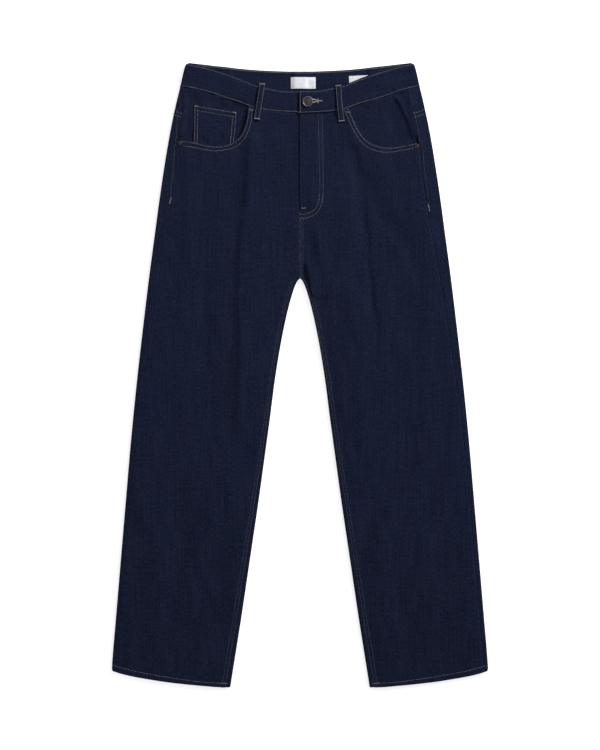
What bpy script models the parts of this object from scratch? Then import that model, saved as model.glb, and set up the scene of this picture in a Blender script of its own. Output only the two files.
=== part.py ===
"""Tapered jeans, laid flat on their back with the front facing up.

+X is to the right of someone looking down at them, +Y is towards the waist and +Z is up. The origin is under the
middle of their length and width. Left and right are the viewer's. Every length is in millimetres until a mesh is
made. Plan functions take x across from the centre line, so that one table serves both legs.
"""

import bpy
import bmesh
from collections import namedtuple
from math import cos, exp, hypot, pi, sin, sqrt
from mathutils import Vector
from mathutils.geometry import delaunay_2d_cdt

for old in list(bpy.data.objects):
    bpy.data.objects.remove(old, do_unlink=True)

MM = 0.001

# Walls and clearances
CLOTH = 1.1  # denim
HEM_WALL = 2.2  # denim turned up twice
BAND = 2.0  # waistband, two layers
STRAP = 1.6  # belt loop
TRIM = 1.0  # thin pieces: coin pocket, zip tape
SEAM = 0.3  # between neighbouring pieces

# The laid garment
EDGE_RADIUS = 2.6  # of the fold along each leg
BAND_RADIUS = 3.0  # of the fold at each end of the waistband
EDGE_EASE = 26.0  # how far in the front rises to its full height
LOFT = 0.7  # how much higher than its edges the front lies
FOLD_STEPS = 6
HEM_DEPTH = 10.0
STEP = 0.8  # width of a change in wall

# Heights of the closure at the waist
BAND_CENTRE = 6.6  # outer face of the band's under end
OVERLAP_RISE = BAND + SEAM
UNDER_END = 32.0  # how far the under end reaches past the centre
OVER_END = -2.4  # where the upper end stops
FLY_RISE = 1.8
FLY_EDGE = -0.7
FLY_UNDER = 8.0  # how far the left front reaches under the fly
FLY_WIDTH = 38.0
FLY_FOOT = 288.0
POCKET_DROP = 2.7  # pocket facing below the front's outer face
WAIST_DROP = 1.4  # the same, where it is sewn to the waistband

# Where the folded edges end: distances from the centre line, and heights
CROTCH = 158.6
BAND_TOP = 186.0
WAIST_CORNER = 515.2
BAND_FOOT = 197.7
BAND_FOOT_Y = 475.5
YOKE_EDGE = 206.5
YOKE_EDGE_Y = 440.0
HEM_INNER = 114.6
HEM_INNER_Y = -514.8
HEM_OUTER = 310.2
HEM_OUTER_Y = -484.2


class Curve:
    """A smooth line through a table's rows, from its first column to another."""

    def __init__(self, rows, column=1):
        self.rows = sorted((row[0], row[column]) for row in rows)

    def __call__(self, at):
        rows = self.rows
        at = min(max(at, rows[0][0]), rows[-1][0])
        i = next(i for i in range(len(rows) - 1) if at <= rows[i + 1][0])
        width = rows[i + 1][0] - rows[i][0]
        t = (at - rows[i][0]) / width
        start, end = self.slope(i) * width, self.slope(i + 1) * width
        a, b = rows[i][1], rows[i + 1][1]
        return (
            (2 * t**3 - 3 * t**2 + 1) * a
            + (t**3 - 2 * t**2 + t) * start
            + (3 * t**2 - 2 * t**3) * b
            + (t**3 - t**2) * end
        )

    def slope(self, i):
        rows = self.rows

        def rise(j):
            return (rows[j + 1][1] - rows[j][1]) / (rows[j + 1][0] - rows[j][0])

        if i == 0:
            return rise(0)
        if i == len(rows) - 1:
            return rise(i - 1)
        before, after = rows[i][0] - rows[i - 1][0], rows[i + 1][0] - rows[i][0]
        return (rise(i - 1) * after + rise(i) * before) / (before + after)


# Folded outer edge: height along the garment, distance from the centre line
Edge = namedtuple("Edge", "y across")
outer = Curve(
    [
        Edge(WAIST_CORNER, BAND_TOP),
        Edge(512.0, 188.2),
        Edge(509.0, 189.4),
        Edge(494.0, 193.4),
        Edge(477.5, 197.0),
        Edge(444.5, 204.9),
        Edge(411.5, 211.9),
        Edge(378.5, 218.0),
        Edge(345.5, 223.4),
        Edge(296.0, 230.8),
        Edge(230.0, 239.7),
        Edge(164.0, 248.5),
        Edge(90.0, 257.5),
        Edge(-9.0, 268.8),
        Edge(-108.0, 278.7),
        Edge(-207.0, 287.2),
        Edge(-306.0, 295.6),
        Edge(-405.0, 303.9),
        Edge(-471.0, 309.4),
        Edge(HEM_OUTER_Y, HEM_OUTER),
    ]
)
# Folded inner edge, from just under the crotch point to the hem. Near that point its width follows the root of the
# distance below it, so the curve runs through the roots.
INSIDE_LEG = [
    Edge(157.6, 2.2),
    Edge(152.7, 5.4),
    Edge(139.5, 10.7),
    Edge(123.0, 15.7),
    Edge(90.0, 23.8),
    Edge(57.0, 30.5),
    Edge(24.0, 36.3),
    Edge(-9.0, 41.4),
    Edge(-75.0, 49.9),
    Edge(-141.0, 58.9),
    Edge(-207.0, 68.0),
    Edge(-306.0, 82.6),
    Edge(-405.0, 97.3),
    Edge(HEM_INNER_Y, HEM_INNER),
]
inner_by_root = Curve([(0.0, 0.0)] + [(sqrt(CROTCH - row.y), row.across) for row in INSIDE_LEG])

# Lines across the garment: distance from the centre line, height
Across = namedtuple("Across", "x y")
hem = Curve(
    [
        Across(HEM_INNER, HEM_INNER_Y),
        Across(122.0, -515.0),
        Across(161.0, -512.4),
        Across(190.6, -509.6),
        Across(220.3, -506.2),
        Across(250.0, -501.6),
        Across(279.7, -496.1),
        Across(299.5, -491.1),
        Across(306.5, -488.6),
        Across(309.4, -486.9),
        Across(HEM_OUTER, HEM_OUTER_Y),
    ]
)
back_top = Curve(
    [
        Across(0.0, 500.3),
        Across(39.0, 501.3),
        Across(78.4, 503.4),
        Across(121.3, 507.7),
        Across(161.0, 512.4),
        Across(BAND_TOP, WAIST_CORNER),
    ]
)
front_top = Curve(
    [
        Across(0.0, 468.4),
        Across(33.0, 469.5),
        Across(52.8, 473.3),
        Across(71.0, 477.2),
        Across(85.8, 483.0),
        Across(99.0, 488.5),
        Across(122.0, 497.0),
        Across(142.0, 503.4),
        Across(162.0, 509.0),
        Across(BAND_TOP, 514.0),
    ]
)
back_band_seam = Curve([Across(0.0, 464.9), Across(100.0, 469.0), Across(BAND_FOOT, BAND_FOOT_Y)])
yoke_seam = Curve([Across(0.0, 402.0), Across(120.0, 424.0), Across(YOKE_EDGE, YOKE_EDGE_Y)])

# The front waistband's lower edge, left and right of the centre
BandRow = namedtuple("BandRow", "x left right")
FRONT_BAND_EDGE = [
    BandRow(0.0, 431.8, 430.6),
    BandRow(33.0, 433.6, 432.0),
    BandRow(59.4, 436.5, 434.8),
    BandRow(81.0, 441.5, 440.0),
    BandRow(99.0, 448.3, 446.6),
    BandRow(118.8, 454.6, 452.2),
    BandRow(142.7, 463.0, 459.2),
    BandRow(166.7, 469.5, 468.0),
    BandRow(BAND_FOOT, BAND_FOOT_Y, BAND_FOOT_Y),
]

# How far in from the outer edge the side seam runs
SideRow = namedtuple("SideRow", "y left right")
SIDE_SEAM = [
    SideRow(476.0, 6.5, 20.5),
    SideRow(434.0, 13.2, 21.6),
    SideRow(393.0, 15.8, 21.8),
    SideRow(361.0, 17.2, 22.6),
    SideRow(333.0, 19.4, 24.3),
    SideRow(285.0, 20.3, 24.1),
    SideRow(157.0, 15.7, 18.2),
    SideRow(25.0, 11.6, 12.9),
    SideRow(-127.0, 8.8, 8.8),
    SideRow(-485.0, 7.4, 7.4),
]
# How far in from the inner edge the inside-leg seam runs
inseam_inset = Curve([Edge(CROTCH, 3.1), Edge(-75.0, 3.4), Edge(-207.0, 4.8), Edge(HEM_INNER_Y, 6.9)])

# The pocket mouths, from the waistband to the side seam
LEFT_MOUTH = [
    Across(85.3, 442.0),
    Across(86.6, 428.0),
    Across(89.6, 413.0),
    Across(94.6, 401.6),
    Across(104.4, 388.0),
    Across(117.0, 380.6),
    Across(137.8, 377.2),
    Across(161.0, 380.2),
    Across(180.0, 385.6),
]
RIGHT_MOUTH = [
    Across(80.0, 440.3),
    Across(84.4, 430.0),
    Across(89.4, 419.0),
    Across(95.6, 407.0),
    Across(108.6, 388.4),
    Across(127.8, 378.0),
    Across(151.9, 375.6),
    Across(172.0, 378.9),
]
MOUTH_FOOT = {-1: 387.0, 1: 382.5}  # where a mouth meets the side seam

# The largest folds of the front: height over the plain surface, half width, and the line along the fold
Fold = namedtuple("Fold", "height half line")
FOLDS = [
    Fold(-1.9, 15.0, [(-94, 365), (-102, 240), (-102, 25), (-90, -175)]),
    Fold(-0.8, 13.0, [(-185, 365), (-180, 180), (-178, -25)]),
    Fold(0.5, 20.0, [(-140, 340), (-142, 120), (-138, -150)]),
    Fold(-1.9, 13.0, [(94, 365), (107, 322), (124, 248), (142, 195)]),
    Fold(0.4, 12.0, [(88, 360), (104, 240), (116, 107), (134, -60)]),
    Fold(-1.2, 16.0, [(74, 110), (82, -40), (92, -190)]),
    Fold(-0.7, 14.0, [(178, 260), (186, 120), (196, -60)]),
    Fold(-0.5, 12.0, [(210, -180), (224, -330)]),
    Fold(-0.5, 12.0, [(-196, -200), (-205, -360)]),
    Fold(-0.6, 7.0, [(18, 200), (44, 214), (74, 218)]),
    Fold(-0.6, 7.0, [(-18, 200), (-46, 218), (-72, 226)]),
]

# What lies between the back and the surface it rests on
BACK_POCKET = [
    Across(-71.0, 78.0),
    Across(71.0, 78.0),
    Across(62.0, -58.0),
    Across(0.0, -84.0),
    Across(-62.0, -58.0),
]
POCKET_CENTRE = Across(107.0, 279.0)
LOOP_HALF = 5.4
LOOP_LENGTH = 50.0
SIDE_LOOP_X = 124.0
RELIEF_MARGIN = 2.0
RELIEF_EASE = 10.0

# Fasteners
CHAIN_HEIGHT = 0.6  # zip chain over its tape
BUTTON_PLACE = (12.7, 450.0)
BUTTON_RADIUS = 8.7
SHANK_RADIUS = 2.2
SHANK_HOLE = 2.7
RIVET_RADIUS = 3.6
RIVET_PLACES = {"left": (-198.0, 381.8), "right": (192.8, 377.0)}

# Finishes: colour, roughness, metallic
Finish = namedtuple("Finish", "colour roughness metallic")
DENIM = Finish((0.0103, 0.0130, 0.0300), 0.92, 0.0)
TAPE = Finish((0.0090, 0.0110, 0.0220), 0.85, 0.0)
PAPER_WHITE = Finish((0.7400, 0.7400, 0.7300), 0.80, 0.0)
BRONZE = Finish((0.0900, 0.0780, 0.0800), 0.42, 1.0)
COPPER = Finish((0.2600, 0.1200, 0.0700), 0.45, 1.0)


def ease(t):
    """0 before 0, 1 after 1, and smooth between."""
    t = min(max(t, 0.0), 1.0)
    return t * t * (3.0 - 2.0 * t)


def mix(a, b, t):
    return a + (b - a) * t


def steps(start, end, count):
    return [mix(start, end, i / count) for i in range(count + 1)]


def by_side(rows, side):
    return Curve(rows, 1 if side < 0 else 2)


band_edge = {side: by_side(FRONT_BAND_EDGE, side) for side in (-1, 1)}
side_inset = {side: by_side(SIDE_SEAM, side) for side in (-1, 1)}


def inner(y):
    return inner_by_root(sqrt(CROTCH - y)) if y < CROTCH else 0.0


def inset_from(edge, y, inset):
    """The plan point that lies in from a folded edge, square to it, at the edge's height y."""
    if edge is inner and y > CROTCH - 0.01:
        return 0.0, CROTCH + inset
    reach = min(0.5, (CROTCH - y) * 0.5) if edge is inner else 0.5
    slope = (edge(y + reach) - edge(y - reach)) / (2 * reach)
    inward = 1 if edge is inner else -1
    length = hypot(1.0, slope)
    return edge(y) + inward * inset / length, y - inward * inset * slope / length


def line_distance(line, x, y):
    """Distance to a line of points, and how far along it the nearest point is, from 0 to 1."""
    lengths = [hypot(b[0] - a[0], b[1] - a[1]) for a, b in zip(line, line[1:])]
    best, place, done = 1e9, 0.0, 0.0
    for (a, b), length in zip(zip(line, line[1:]), lengths):
        t = ((x - a[0]) * (b[0] - a[0]) + (y - a[1]) * (b[1] - a[1])) / length**2
        t = min(max(t, 0.0), 1.0)
        away = hypot(x - mix(a[0], b[0], t), y - mix(a[1], b[1], t))
        if away < best:
            best, place = away, (done + t * length) / sum(lengths)
        done += length
    return best, place


INNER_LINE = [(inner(CROTCH - w * w), CROTCH - w * w) for w in steps(0.0, 8.0, 24)]


def depth(x, y):
    """How far a point of the plan lies inside the folded edges."""
    across = abs(x)
    inside = outer(y) - across
    if y < CROTCH - 50.0:
        return min(inside, across - inner(y))
    return min(inside, line_distance(INNER_LINE, across, y)[0])


def fold_height(x, y):
    total = 0.0
    for fold in FOLDS:
        away, place = line_distance(fold.line, x, y)
        fade = ease(place / 0.3) * ease((1.0 - place) / 0.3)
        total += fold.height * fade * exp(-((away / fold.half) ** 2))
    return total


def over(x, y):
    """Height of the front's outer face."""
    return 2 * EDGE_RADIUS + ease((depth(x, y) - EDGE_RADIUS) / EDGE_EASE) * (LOFT + fold_height(x, y))


def pocket_outline(side, margin=0.0):
    """A back pocket's plan, or a line that runs round it at a distance."""
    grow = 1.0 + margin / 66.0
    return [(side * (POCKET_CENTRE.x + p.x * grow), POCKET_CENTRE.y + p.y * grow) for p in BACK_POCKET]


def loop_outline(x, margin=0.0):
    top = back_top(abs(x)) - 1.0
    half = LOOP_HALF + margin
    low = top - LOOP_LENGTH - margin
    return [(x - half, top + margin), (x + half, top + margin), (x + half, low), (x - half, low)]


# What the back lies on: outline at a margin, and its thickness
RELIEFS = [(lambda margin, side=side: pocket_outline(side, margin), CLOTH + SEAM) for side in (-1, 1)]
RELIEFS += [
    (lambda margin, x=x: loop_outline(x, margin), STRAP + SEAM) for x in (-SIDE_LOOP_X, 0.0, SIDE_LOOP_X)
]


def is_inside(polygon, x, y):
    found = False
    for (x0, y0), (x1, y1) in zip(polygon, polygon[1:] + polygon[:1]):
        if (y0 > y) != (y1 > y) and x < x0 + (y - y0) * (x1 - x0) / (y1 - y0):
            found = not found
    return found


def under(x, y):
    """Height of the back's outer face, which rises over the pockets and loops that lie beneath it."""
    height = 0.0
    for outline, rise in RELIEFS:
        ring = outline(RELIEF_MARGIN)
        away = 0.0 if is_inside(ring, x, y) else line_distance(ring + ring[:1], x, y)[0]
        height = max(height, rise * ease(1.0 - (away - 0.05) / (RELIEF_EASE - RELIEF_MARGIN)))
    return height


def band_over(x):
    """Height of the front waistband's outer face, without the overlap at the closure."""
    return mix(BAND_CENTRE, 2 * BAND_RADIUS, ease(abs(x) / 60.0))


def overlap_rise(x):
    return OVERLAP_RISE * (1.0 - ease((x - UNDER_END - 4.0) / 44.0))


def fly_rise(x, y):
    """How far the fly lies over the left front."""
    width = 1.0 - ease((x - 0.72 * FLY_WIDTH) / (0.45 * FLY_WIDTH))
    return FLY_RISE * width * ease((y - FLY_FOOT + 26.0) / 22.0)


def cloth_at(x, y):
    """Wall of a leg panel, thicker along the hem."""
    return HEM_WALL if y < hem(abs(x)) + HEM_DEPTH + 0.2 * STEP else CLOTH


class Sheet:
    """One piece of cloth: points of its outer face, each with the point of its inner face behind it."""

    def __init__(self):
        self.pairs = []
        self.faces = []
        self.found = {}

    def point(self, outside, inside):
        key = tuple(round(c, 3) for c in outside)
        if key not in self.found:
            self.found[key] = len(self.pairs)
            self.pairs.append((outside, inside))
        return self.found[key]

    def face(self, *corners):
        used = [c for i, c in enumerate(corners) if c != corners[i - 1]]
        if len(used) > 2:
            self.faces.append(used)

    def grid(self, rows):
        """Faces between rows of points, each point an outer and an inner one."""
        numbered = [[self.point(*pair) for pair in row] for row in rows]
        for above, below in zip(numbered, numbered[1:]):
            for i in range(len(above) - 1):
                self.face(above[i], above[i + 1], below[i + 1], below[i])

    def fill(self, loop, lift, spacing, lines=()):
        """Faces over a closed line in plan. lift gives a plan point's outer and inner height."""
        plan = list(loop)
        edges = [(i, (i + 1) % len(loop)) for i in range(len(loop))]
        for line in lines:
            edges += [(len(plan) + i, len(plan) + i + 1) for i in range(len(line) - 1)]
            plan += line
        borders = [list(loop) + [loop[0]]] + [list(line) for line in lines]
        wide, tall = spacing
        low_x, high_x = min(p[0] for p in loop), max(p[0] for p in loop)
        low_y, high_y = min(p[1] for p in loop), max(p[1] for p in loop)
        for column in range(int(low_x // wide), int(high_x // wide) + 1):
            for row in range(int(low_y // tall), int(high_y // tall) + 1):
                x, y = (column + 0.5) * wide, (row + 0.5 * (column % 2)) * tall
                if is_inside(loop, x, y) and all(line_distance(b, x, y)[0] > 0.4 * wide for b in borders):
                    plan.append((x, y))
        made = delaunay_2d_cdt([Vector(p) for p in plan], edges, [list(range(len(loop)))], 1, 1e-6)
        spots = [plan[given[0]] if given else (p.x, p.y) for p, given in zip(made[0], made[3])]
        numbers = {}
        for triangle in made[2]:
            for i in triangle:
                if i not in numbers:
                    x, y = spots[i]
                    top, bottom = lift(x, y)
                    numbers[i] = self.point((x, y, top), (x, y, bottom))
            self.face(*(numbers[i] for i in triangle))

    def build(self, name, finish):
        """The closed wall between the two faces, as an object."""
        mesh = bpy.data.meshes.new(name)
        count = len(self.pairs)
        faces = [list(face) for face in self.faces] + [[count + i for i in face] for face in self.faces]
        sides = {}
        for face in self.faces:
            for i, a in enumerate(face):
                b = face[(i + 1) % len(face)]
                sides.setdefault((min(a, b), max(a, b)), []).append((a, b))
        for uses in sides.values():
            if len(uses) == 1:
                a, b = uses[0]
                faces.append([a, b, count + b, count + a])
        points = [pair[0] for pair in self.pairs] + [pair[1] for pair in self.pairs]
        mesh.from_pydata([tuple(c * MM for c in p) for p in points], [], faces)
        solid = bmesh.new()
        solid.from_mesh(mesh)
        bmesh.ops.remove_doubles(solid, verts=solid.verts, dist=1e-6)
        bmesh.ops.recalc_face_normals(solid, faces=solid.faces)
        bmesh.ops.triangulate(solid, faces=solid.faces)
        solid.to_mesh(mesh)
        solid.free()
        return place(name, mesh, finish)


def place(name, mesh, finish):
    """The object that shows a mesh, with a material of its own."""
    material = bpy.data.materials.new(name)
    material.use_nodes = True
    shader = material.node_tree.nodes["Principled BSDF"]
    shader.inputs["Base Color"].default_value = (*finish.colour, 1.0)
    shader.inputs["Roughness"].default_value = finish.roughness
    shader.inputs["Metallic"].default_value = finish.metallic
    mesh.materials.append(material)
    mesh.shade_smooth()
    mesh.set_sharp_from_angle(angle=0.7)
    piece = bpy.data.objects.new(name, mesh)
    bpy.context.scene.collection.objects.link(piece)
    return piece


def side_name(side):
    return "left" if side < 0 else "right"


def fold_section(radius, wall):
    """A fold from the underside round to the top: how far in and how high its outer and inner faces run."""
    section = []
    for angle in steps(-pi / 2, pi / 2, FOLD_STEPS):
        section.append(
            (
                (radius - radius * cos(angle), radius + radius * sin(angle)),
                (radius - (radius - wall) * cos(angle), radius + (radius - wall) * sin(angle)),
            )
        )
    return section


def fold_rows(side, edge, heights, seam_inset, radius, walls, ends, base=0.0):
    """A folded edge with the strip of cloth that it carries round on to the front, as rows from end to end.

    heights are the stations along the edge, seam_inset(y) says how far in the strip ends, walls gives the cloth's
    thickness at each station, and ends moves a point of the first or last stations on to the seam or hem there.
    """
    rows = []
    for number, (y, wall) in enumerate(zip(heights, walls)):
        row = []
        for (out_in, out_z), (in_in, in_z) in fold_section(radius, wall):
            on_top = out_z > radius
            px, py = ends(number, on_top, out_in, *inset_from(edge, y, out_in))
            qx, qy = ends(number, on_top, in_in, *inset_from(edge, y, in_in))
            row.append(((side * px, py, base + out_z), (side * qx, qy, base + in_z)))
        reach = seam_inset(y) - SEAM / 2
        strip = [mix(radius, reach, t) for t in ((0.5, 1.0) if reach > 2.4 * radius else (1.0,))]
        for inset in strip:
            px, py = ends(number, True, inset, *inset_from(edge, y, inset))
            top = over(side * px, py)
            row.append(((side * px, py, top), (side * px, py, top - wall)))
        rows.append(row)
    return rows


def leg_heights(edge, start, count):
    """Stations along an edge of the leg, with three that carry the hem, and the wall at each."""
    foot = HEM_OUTER_Y if edge is outer else HEM_INNER_Y
    if edge is outer:
        plain = steps(start, foot + 3.2 * HEM_DEPTH, count)
    else:
        plain = [CROTCH - w * w for w in steps(0.0, 4.0, 5)]
        plain += steps(plain[-1], foot + 3.2 * HEM_DEPTH, count)[1:]
    heights = plain + [foot + HEM_DEPTH + STEP, foot + HEM_DEPTH, foot]
    walls = [CLOTH] * (len(plain) + 1) + [HEM_WALL] * 2
    return heights, walls


def hem_line(low, high, above):
    return [(x, hem(x) + above) for x in steps(low, high, 9)]


def yoke_seam_at(on_top, inset, x):
    """The yoke's lower seam: across the back, and sloping down the strip that shows at the front."""
    if on_top:
        return YOKE_EDGE_Y - 0.3 * inset
    return mix(YOKE_EDGE_Y, yoke_seam(x), ease(inset / EDGE_RADIUS))


def band_seam_at(side, on_top, inset, x):
    """The waistband's lower seam, on the front or across the back, at a distance in from the fold."""
    line = band_edge[side] if on_top else back_band_seam
    return mix(BAND_FOOT_Y, line(min(x, BAND_FOOT)), ease(inset / EDGE_RADIUS))


def outer_ends(count):
    def ends(number, on_top, inset, x, y):
        if number == 0:
            return x, yoke_seam_at(on_top, inset, x) - SEAM / 2
        if number >= count - 3:
            above = (HEM_DEPTH + STEP, HEM_DEPTH, 0.0)[number - count + 3]
            return x, hem(min(x, HEM_OUTER)) + above
        return x, y

    return ends


def inner_ends(count):
    def ends(number, on_top, inset, x, y):
        if number == 0:
            return SEAM / 2, y
        if number >= count - 3:
            above = (HEM_DEPTH + STEP, HEM_DEPTH, 0.0)[number - count + 3]
            return x, hem(max(x, HEM_INNER)) + above
        return x, y

    return ends


def plan_line(rows, column, side):
    """A column of fold rows as a line in plan, measured across from the centre."""
    return [(side * row[column][0][0], row[column][0][1]) for row in rows]


def mirrored(line, side):
    return [(side * x, y) for x, y in line]


def make_back(side):
    """One leg's back panel: the underside, carried round both edges to the side seam and the inside-leg seam."""
    sheet = Sheet()
    heights, walls = leg_heights(outer, YOKE_EDGE_Y, 26)
    ends = outer_ends(len(heights))
    outer_rows = fold_rows(side, outer, heights, side_inset[side], EDGE_RADIUS, walls, ends)
    sheet.grid(outer_rows)
    heights, walls = leg_heights(inner, CROTCH, 18)
    inner_rows = fold_rows(
        side, inner, heights, inseam_inset, EDGE_RADIUS, walls, inner_ends(len(heights))
    )
    sheet.grid(inner_rows)

    outside, inside = plan_line(outer_rows, 0, side), plan_line(inner_rows, 0, side)
    centre = [(SEAM / 2, y) for y in steps(inside[0][1], yoke_seam(0.0) - SEAM / 2, 6)]
    top = [(x, yoke_seam(x) - SEAM / 2) for x in steps(SEAM / 2, outside[0][0], 8)]
    hem_low, hem_high = inside[-1][0], outside[-1][0]
    loop = outside + hem_line(hem_high, hem_low, 0.0)[1:-1] + inside[::-1] + centre[1:-1] + top[:-1]
    lines = []
    for above, station in ((HEM_DEPTH + STEP, -3), (HEM_DEPTH, -2)):
        low, high = inside[station], outside[station]
        lines.append([low] + hem_line(low[0], high[0], above)[1:-1] + [high])
    for margin in (RELIEF_MARGIN, RELIEF_EASE):
        ring = pocket_outline(1, margin)
        lines.append(ring + ring[:1])

    def lift(x, y):
        return under(x, y), under(x, y) + cloth_at(x, y)

    sheet.fill(mirrored(loop, side), lift, (60.0, 70.0), [mirrored(line, side) for line in lines])
    return sheet.build("back_" + side_name(side), DENIM)


def side_seam_line(side, heights, shift, ends):
    """Points along the side seam at the same stations as the back panel's strip."""
    line = []
    for number, y in enumerate(heights):
        inset = side_inset[side](y) + shift
        line.append(ends(number, True, inset, *inset_from(outer, y, inset)))
    return line


def mouth_line(side):
    return [(p.x, p.y) for p in (LEFT_MOUTH if side < 0 else RIGHT_MOUTH)]


def make_front(side):
    """One leg's front panel, from the waistband and pocket mouth to the hem."""
    sheet = Sheet()
    heights, _ = leg_heights(outer, YOKE_EDGE_Y, 26)
    seam = side_seam_line(side, heights, SEAM / 2, outer_ends(len(heights)))
    foot = MOUTH_FOOT[side]
    seam = [p for p in seam if p[1] < foot - 6.0]
    corner = inset_from(outer, foot, side_inset[side](foot) + SEAM / 2)
    heights, _ = leg_heights(inner, CROTCH, 18)
    ends = inner_ends(len(heights))
    inseam = []
    for number, y in enumerate(heights):
        inset = inseam_inset(y) + SEAM / 2
        inseam.append(ends(number, True, inset, *inset_from(inner, y, inset)))
    mouth = mouth_line(side)
    waist = [(x, band_edge[side](x) - SEAM / 2) for x in steps(FLY_UNDER, mouth[0][0], 6)]
    mouth[0] = waist[-1]
    if side < 0:
        fly = [(-FLY_UNDER, FLY_FOOT + 14.0), (1.1, FLY_FOOT + 4.0)]
        waist = [(-FLY_UNDER, band_edge[-1](0.0) - SEAM / 2), (0.0, band_edge[-1](0.0) - SEAM / 2)] + waist
    else:
        fly = [(FLY_EDGE, y) for y in steps(band_edge[1](0.0) - 20.0, FLY_FOOT + 4.0, 5)]
        waist = [(FLY_EDGE, band_edge[1](0.0) - SEAM / 2)] + waist
    rise = [(SEAM / 2, y) for y in steps(FLY_FOOT - 12.0, inseam[0][1], 6)]
    loop = waist + mouth[1:] + [corner] + seam
    loop += hem_line(seam[-1][0], inseam[-1][0], 0.0)[1:-1] + inseam[::-1] + rise[::-1][1:] + fly[::-1]
    lines = []
    for above, station in ((HEM_DEPTH + STEP, -3), (HEM_DEPTH, -2)):
        low, high = inseam[station], seam[station]
        lines.append([low] + hem_line(low[0], high[0], above)[1:-1] + [high])

    def lift(x, y):
        top = over(x, y) + (fly_rise(x, y) if side > 0 else 0.0)
        return top, top - cloth_at(x, y)

    sheet.fill(mirrored(loop, side), lift, (14.0, 26.0), [mirrored(line, side) for line in lines])
    return sheet.build("front_" + side_name(side), DENIM)


def make_yoke(side):
    """The yoke between the waistband and the back panel, carried round the side to the side seam."""
    sheet = Sheet()
    heights = steps(BAND_FOOT_Y, YOKE_EDGE_Y, 3)

    def ends(number, on_top, inset, x, y):
        if number == 0:
            return x, band_seam_at(side, on_top, inset, x) - SEAM / 2
        if number == len(heights) - 1:
            return x, yoke_seam_at(on_top, inset, x) + SEAM / 2
        return x, y

    rows = fold_rows(side, outer, heights, side_inset[side], EDGE_RADIUS, [CLOTH] * 4, ends)
    sheet.grid(rows)
    outside = plan_line(rows, 0, side)
    reliefs = [loop_outline(x, margin) for margin in (RELIEF_MARGIN, RELIEF_EASE) for x in (0.0, SIDE_LOOP_X)]
    crossings = sorted({x for ring in reliefs for x in (ring[0][0], ring[1][0]) if x > SEAM})
    top_x = sorted(set(crossings + steps(SEAM / 2, outside[0][0], 7)))
    top = [(x, back_band_seam(x) - SEAM / 2) for x in top_x]
    low = [(x, yoke_seam(x) + SEAM / 2) for x in steps(outside[-1][0], SEAM / 2, 8)]
    centre_y = [ring[2][1] for ring in reliefs if ring[0][0] < 0.0]
    centre = [(SEAM / 2, y) for y in sorted(centre_y)]
    loop = top[:-1] + outside + low[1:] + centre
    lines = []
    for ring in reliefs:
        left, right, foot_y = max(ring[0][0], SEAM / 2), ring[1][0], ring[2][1]
        line = [(right, back_band_seam(right) - SEAM / 2), (right, foot_y), (left, foot_y)]
        if left > SEAM:
            line.append((left, back_band_seam(left) - SEAM / 2))
        lines.append(line)

    def lift(x, y):
        return under(x, y), under(x, y) + CLOTH

    sheet.fill(mirrored(loop, side), lift, (30.0, 40.0), [mirrored(line, side) for line in lines])
    return sheet.build("yoke_" + side_name(side), DENIM)


def make_waistband():
    """One band, from the under end of the closure round the left side and the back to the upper end."""
    across = 3
    top_x, foot_x = BAND_TOP - BAND_RADIUS, BAND_FOOT - BAND_RADIUS
    stations = []

    def front(side, t, start):
        """A line down the front band, t of the way from its end at start to the fold."""
        line = []
        for r in steps(0.0, 1.0, across):
            x = mix(mix(start, top_x, t), mix(start, foot_x, t), r)
            at = abs(x)
            y = mix(front_top(at), band_edge[side](at) + SEAM / 2, r)
            height = band_over(at) + (overlap_rise(x) if side > 0 else 0.0)
            line.append(((side * x, y, height), (side * x, y, height - BAND)))
        return line

    def back(x_top):
        line = []
        for r in steps(0.0, 1.0, across):
            x = x_top * mix(1.0, foot_x / top_x, r * ease((abs(x_top) - 145.0) / (top_x - 145.0)))
            y = mix(back_top(abs(x)), back_band_seam(abs(x)) + SEAM / 2, r)
            line.append(((x, y, under(x, y)), (x, y, under(x, y) + BAND)))
        return line

    def fold(side):
        """The fold's lines, from the underside round to the top."""
        lines = []
        for (out_in, out_z), (in_in, in_z) in fold_section(BAND_RADIUS, BAND):
            turn = out_z / (2 * BAND_RADIUS)
            line = []
            for r in steps(0.0, 1.0, across):
                top_y = mix(back_top(top_x), front_top(top_x), turn)
                foot_y = band_seam_at(side, turn > 0.5, out_in, BAND_FOOT - out_in) + SEAM / 2
                y = mix(top_y, foot_y, r)
                edge = mix(BAND_TOP, BAND_FOOT, r) if r in (0.0, 1.0) else outer(y)
                line.append(((side * (edge - out_in), y, out_z), (side * (edge - in_in), y, in_z)))
            lines.append(line)
        return lines

    under_t = steps(0.0, 1.0, 16)
    stations += [front(-1, t, -UNDER_END) for t in under_t[:-1]]
    stations += fold(-1)[::-1]
    margins = steps(RELIEF_MARGIN, RELIEF_EASE, 3)
    rings = [loop_outline(x, margin) for margin in margins for x in (0.0, SIDE_LOOP_X)]
    marks = {abs(p[0]) for ring in rings for p in ring[:2]} | {30.0, 55.0, 80.0, 155.0}
    marks = sorted(marks | {-x for x in marks} | {0.0})
    stations += [back(x) for x in marks]
    stations += fold(1)
    stations += [front(1, t, OVER_END) for t in steps(0.0, 1.0, 16)[::-1][1:]]
    sheet = Sheet()
    sheet.grid(stations)
    band = sheet.build("waistband", DENIM)
    cutter = lathe("shank_hole", [(SHANK_HOLE, 6.75), (SHANK_HOLE, 10.5)], 24, DENIM)
    cutter.location = (BUTTON_PLACE[0] * MM, BUTTON_PLACE[1] * MM, 0.0)
    cutter.hide_render = True
    cutter.display_type = "WIRE"
    hole = band.modifiers.new("shank hole", "BOOLEAN")
    hole.operation = "DIFFERENCE"
    hole.object = cutter
    return band


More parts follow.
